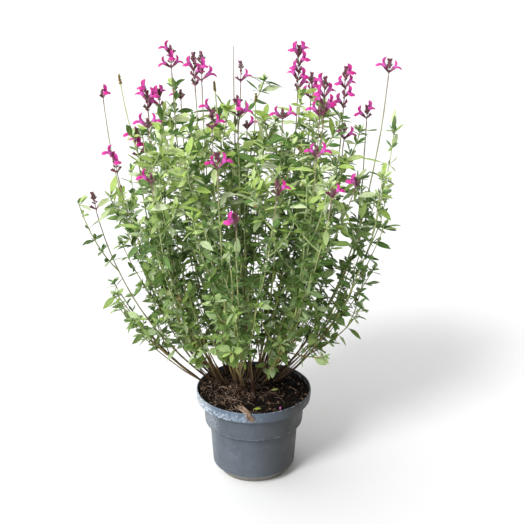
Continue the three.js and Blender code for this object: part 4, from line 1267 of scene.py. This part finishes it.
def leaf_material(name, old, young, under, dry):
    """Leaves of two ages. Each age has a deep, a middle and a light green, and the odd leaf is dry."""
    m = Finish(name, specular=0.25)
    tint, rib, light = m.value("tint"), m.value("rib"), old[-1]
    green, fresh = (m.ramp(tint, *zip((0, 0.25, 0.62, 1), age[:1] + age)) for age in (old, young))
    # The young value pales a leaf; at the top and the foot of the shrub it is partly painted light.
    green = m.blend(m.value("young") * 0.85, green, fresh)
    green = m.mottled(m.blend(m.span(tint, 0.993, 0.995), green, dry), 0.84, 1.14, 260, 4)
    # Paler midribs and veins, and a painted highlight along each leaf's margin.
    midrib, margin_highlight = m.span(rib, 0.03, 0.2, 1, 0), m.span(rib, 0.82, 1.0, 0.0, 0.6)
    vein = m.span((m.value("run") * 44 - rib * 9).math("COSINE"), 0.55, 1)
    veins_and_highlight = midrib.math("MAXIMUM", margin_highlight).math("MAXIMUM", vein * 0.4)
    green = m.blend(veins_and_highlight * 0.4, green, light)
    colour = m.blend(m.value("under"), green, m.blend(midrib * 0.5, under, light))
    relief = vein.math("MAXIMUM", midrib) * -1.0 + m.noise(900)
    return m.finish(colour, m.grain(0.36, 0.55, 300, 2), relief, 0.00018)


def stem_material():
    """Square stems: bark at the foot, green above, flushed below the flowers."""
    m = Finish("stem_skin", specular=0.35)
    bark, height = (74, 52, 39), m.axis("Z")
    stops = (0, bark), (0.16, (136, 120, 70)), (0.38, (150, 160, 90)), (1, (182, 197, 136))
    woody = m.span(m.value("tint"), 0.3, 0.9) * m.span(height, 0.55, 0.25, 0.0, 0.6)
    colour = m.blend(woody, m.ramp(m.span(height, 0.14, 0.5), *stops), bark)
    colour = m.blend(m.span(m.value("girth"), 1.45, 2.3), colour, bark)
    colour = m.blend(m.value("flush") * 0.8, colour, (128, 100, 98))
    colour = m.mottled(colour, 0.7, 1.25, 420, 4, (1, 1, 0.12))
    return m.finish(colour, m.grain(0.5, 0.78, 200), m.noise(700, 4, (1, 1, 0.15)), 0.0004)


def calyx_material():
    m = Finish("calyx_skin", specular=0.3, sheen=0.2)
    colour = m.ramp(m.value("tint"), (0, (90, 34, 54)), (0.6, (126, 56, 84)), (1, (168, 100, 134)))
    colour = m.blend(m.span(m.value("bloom"), 0.25, 0.0), colour, (106, 96, 78))
    return m.finish(m.mottled(colour, 0.75, 1.25, 700), m.grain(0.55, 0.75, 300), m.noise(1500))


def corolla_material():
    m = Finish("corolla_skin", specular=0.3, sheen=0.2)
    tube_end, mauve, magenta, deep = (184, 88, 156), (208, 90, 182), (196, 4, 134), (203, 0, 128)
    colour = m.ramp(m.value("reach"), (0, tube_end), (0.38, mauve), (0.62, magenta), (1, deep))
    colour = m.blend(m.value("tint") * 0.4, colour, (214, 90, 190))
    colour = m.blend(m.value("under") * 0.25, colour, (226, 110, 192))
    return m.finish(m.mottled(colour, 0.85, 1.12, 500), m.grain(0.5, 0.7, 400), m.noise(1200), strength=0.5)


def spent_material():
    m = Finish("spent_head_skin", specular=0.25)
    colour = m.ramp(m.value("tint"), (0, (104, 86, 50)), (0.5, (138, 124, 72)), (1, (164, 146, 98)))
    return m.finish(m.mottled(colour, 0.7, 1.2, 600), 0.8, m.noise(1200))


# Wear and grime on the pot: compass heading in degrees and height in mm, how far the mark spreads
# each way, its colour, how strong it is and how coarse its grain.
Mark = namedtuple("Mark", "heading height half_turn half_height colour strength grain")
POT_MARKS = [
    Mark(-160, 139, 24, 11, (214, 220, 226), 0.85, 300),
    Mark(-130, 134, 26, 10, (186, 198, 210), 0.8, 260),
    Mark(-105, 138, 24, 9, (160, 174, 190), 0.5, 200),
    Mark(-146, 108, 14, 22, (176, 184, 192), 0.45, 330),
    Mark(-16, 137, 34, 15, (74, 70, 66), 0.9, 160),
    Mark(-96, 108, 1, 1.2, (44, 52, 40), 0.9, 1),
    Mark(-120, 60, 14, 22, (122, 132, 144), 0.2, 60),
    Mark(35, 134, 30, 12, (176, 186, 196), 0.6, 80),
    Mark(110, 60, 36, 40, (74, 74, 72), 0.5, 50),
    Mark(150, 136, 25, 10, (190, 198, 206), 0.6, 90),
]


def worn(m, colour, mark):
    """A colour with one mark on it: an oval that fades at its edge and is broken up by its grain."""
    heading = m.axis("Y").math("ARCTAN2", m.axis("X"))
    across = (heading - math.radians(mark.heading)) / math.radians(mark.half_turn)
    down = (m.axis("Z") - mark.height * MM) / (mark.half_height * MM)
    inside = m.span(across * across + down * down, 1.2, 0.2)
    return m.blend(inside * m.span(m.noise(mark.grain, 6), 0.46, 0.58) * mark.strength, colour, mark.colour)


def line_at(m, level, half_height):
    """A thin level line round the pot, from 1 at the level to 0 at its edges."""
    off = (m.axis("Z") - level * MM).math("ABSOLUTE")
    return m.span(off, half_height * MM, 0.3 * half_height * MM)


def pot_material():
    """Grey plastic with a paler rim, lime marks and a dirty foot. Light and shade are painted on it too:
    highlights on its edges, dark lines of shade and dirt under its steps, a darker right side and a paler
    left one.
    """
    m = Finish("pot_plastic", specular=0.35)
    height, sideways = m.axis("Z"), m.axis("X")
    blotch = m.span(m.noise(9, 4), 0.35, 0.65)
    body = m.blend(blotch, (77, 85, 94), (88, 96, 106))
    rim = m.blend(blotch, (86, 100, 116), (102, 117, 133))
    colour = m.blend(m.span(height, (BAND_FOOT - 3) * MM, (BAND_FOOT + 2) * MM), body, rim)
    colour = m.mottled(colour, 0.9, 1.08, 90, 5)
    colour = m.mottled(colour, 0.96, 1.04, 320, 3, (1, 1, 0.2))
    # The right side is darkened: painted shade, as if the pot were lit from the left, with some grime.
    shade_and_grime = m.span(sideways, -0.01, 0.07) * m.span(m.noise(24, 5), 0.25, 0.6, 0.8, 1.0)
    colour = m.blend(shade_and_grime, colour, (42, 40, 38))
    # The left edge is paled: painted light from the left, with a whitish bloom on the plastic.
    bloom = m.span(sideways, -0.055, -0.09) * m.span(m.noise(60, 5), 0.35, 0.6, 0.1, 0.5)
    colour = m.blend(bloom, colour, (150, 159, 166))
    for mark in POT_MARKS:
        colour = worn(m, colour, mark)
    broken = m.span(m.noise(150, 5), 0.46, 0.6)
    # Pale lines on the shoulder step, the rim's top and the foot: painted highlights where light catches
    # those edges, with some wear.
    for level, strength in ((STEP + 1.8, 0.3), (POT.height - 0.6, 0.5), (POT.foot_height - 6.4, 0.6)):
        colour = m.blend(line_at(m, level, 0.8) * broken * strength, colour, (168, 178, 188))
    # Dark lines just under the rim band and the shoulder step: painted shade beneath the overhangs, with
    # some dirt in the creases.
    for level in (BAND_FOOT - 0.4, STEP - 0.2):
        colour = m.blend(line_at(m, level, 1.3) * 0.85, colour, (30, 27, 26))
    dirt = m.span(height, 0.018, 0.01) * m.span(m.noise(260, 5), 0.4, 0.56, 0.35, 1.0)
    colour = m.blend(dirt, colour, (126, 120, 110))
    relief = m.noise(500) + m.noise(30) * 2.0
    return m.finish(colour, m.grain(0.4, 0.6, 40, 4), relief, strength=0.4)


def earth_material(name, dark, middle, pale, by_value=True):
    """Compost or strands: each crumb by its own tint, or the whole bed by noise."""
    m = Finish(name, specular=0.2)
    source = m.value("tint") if by_value else m.span(m.noise(300, 6), 0.3, 0.72)
    colour = m.mottled(m.ramp(source, (0, dark), (0.6, middle), (1, pale)), 0.6, 1.35, 800, 4)
    return m.finish(colour, m.grain(0.75, 0.98, 500), m.noise(1100, 5), 0.0006, 0.8)


def floor_material():
    m = Finish("floor_paint", specular=0.1)
    return m.finish(m.blend(m.grain(0, 1, 3, 2), (0.89, 0.89, 0.89, 1), (0.91, 0.91, 0.91, 1)), 0.9)


# ---------------------------------------------------------------- the whole plant


def make_plant(petal_skin):
    """Every shoot and every raceme, one after the other."""
    foliage = leaf_material(
        "leaf_skin", old=((18, 54, 0), (56, 101, 10), (140, 166, 112)),
        young=((176, 206, 100), (200, 220, 142), (216, 226, 188)), under=(104, 140, 74), dry=(118, 88, 50),
    )
    stem_skin, calyx_skin, spent_skin = stem_material(), calyx_material(), spent_material()
    heads = []
    for index, plan in enumerate(SHOOTS):
        node = f"shoot_{index + 1:02d}"
        rng = np.random.default_rng([SEED, index])
        main = plan_shoot(plan, index)
        heads += [stem for stem in main.family() if stem.head]
        add_twigs(main)
        fillers = plan_fillers(main, index)
        stems, leaves, spent = Batch("tint", "flush", "girth"), Batch(*LEAF_VALUES), Batch("tint")
        for stem in [*main.family(), *fillers]:
            add_stem(stems, stem)
            add_foliage(leaves, stem, rng, plan.vigour, fine=stem in fillers)
            if stem.end == "spent":
                add_spent_head(spent, stem, rng)
        for batch, part, skin in (
            (stems, "stems", stem_skin), (leaves, "leaves", foliage), (spent, "spent_head", spent_skin),
        ):
            batch.piece(f"{node}_{part}", skin, "foliage", node)
    for number, stem in enumerate(heads, start=1):
        node = f"raceme_{number:02d}"
        calyces, corollas = Batch("tint", "bloom"), Batch("tint", "reach")
        Raceme(stem).grow(calyces, corollas, np.random.default_rng([SEED, SEEDS.racemes + number]))
        calyces.piece(f"{node}_calyces", calyx_skin, "flowers", node)
        corollas.piece(f"{node}_corollas", petal_skin, "flowers", node)


def make_pot_and_compost(petal_skin):
    make_pot(pot_material())
    mouth = make_compost(earth_material("compost_soil", (3, 2, 1), (14, 9, 7), (44, 31, 24), by_value=False))
    make_crumbs(earth_material("crumb_soil", (4, 2, 1), (26, 17, 12), (170, 136, 110)), mouth)
    make_fibres(earth_material("strand", (10, 6, 4), (62, 38, 28), (236, 204, 178)), mouth)
    make_root_tuft(earth_material("tuft_strand", (84, 62, 50), (156, 128, 108), (220, 200, 178)))
    fallen = leaf_material(
        "fallen_leaf_skin", old=((140, 154, 60), (170, 184, 74), (206, 216, 130)),
        young=((150, 172, 52), (164, 186, 58), (184, 202, 90)), under=(180, 188, 124), dry=(190, 190, 140),
    )
    make_fallen_leaves(fallen, petal_skin)


STUDIO = Values(
    floor=30, left=1.55, right=0.14, fade=0.75, sun=2.1, sun_angle=18, sun_elevation=41, sun_heading=-37
)


def make_sky():
    """A white sky whose light fades from the left to the right, like a room with one broad window.

    Behind the floor it shows as plain white from every side."""
    world = bpy.data.worlds.new("studio")
    sky = Nodes(world)
    across = sky.add("SeparateXYZ", "X", {0: sky.add("TexCoord", "Generated", {})})
    light = sky.span(
        across, -STUDIO.fade, STUDIO.fade, STUDIO.left, STUDIO.right, interpolation_type="SMOOTHSTEP"
    )
    seen = sky.add("LightPath", "Is Camera Ray", {})
    background = sky.tree.nodes["Background"]
    background.inputs["Color"].default_value = (1, 1, 1, 1)
    sky.feed(background.inputs["Strength"], sky.add("Mix", 0, {"Factor": seen, "A": light, "B": 1.0}))
    bpy.context.scene.world = world


def make_studio():
    """A plain pale floor and a broad soft light from the front left."""
    floor = bpy.data.objects.new("floor", bpy.data.meshes.new("floor"))
    corners = [(x * STUDIO.floor, y * STUDIO.floor, 0) for x, y in ((-1, -1), (1, -1), (1, 1), (-1, 1))]
    floor.data.from_pydata(corners, [], [(0, 1, 2, 3)])
    floor.data.materials.append(floor_material())
    bpy.context.collection.objects.link(floor)
    make_sky()
    sun = bpy.data.objects.new("softbox", bpy.data.lights.new("softbox", "SUN"))
    sun.data.energy = STUDIO.sun
    sun.data.angle = math.radians(STUDIO.sun_angle)
    sun.rotation_euler = (math.radians(90 - STUDIO.sun_elevation), 0, math.radians(STUDIO.sun_heading))
    bpy.context.collection.objects.link(sun)
    bpy.context.scene.view_settings.view_transform = "Standard"


petal_skin = corolla_material()
make_plant(petal_skin)
make_pot_and_compost(petal_skin)
make_studio()
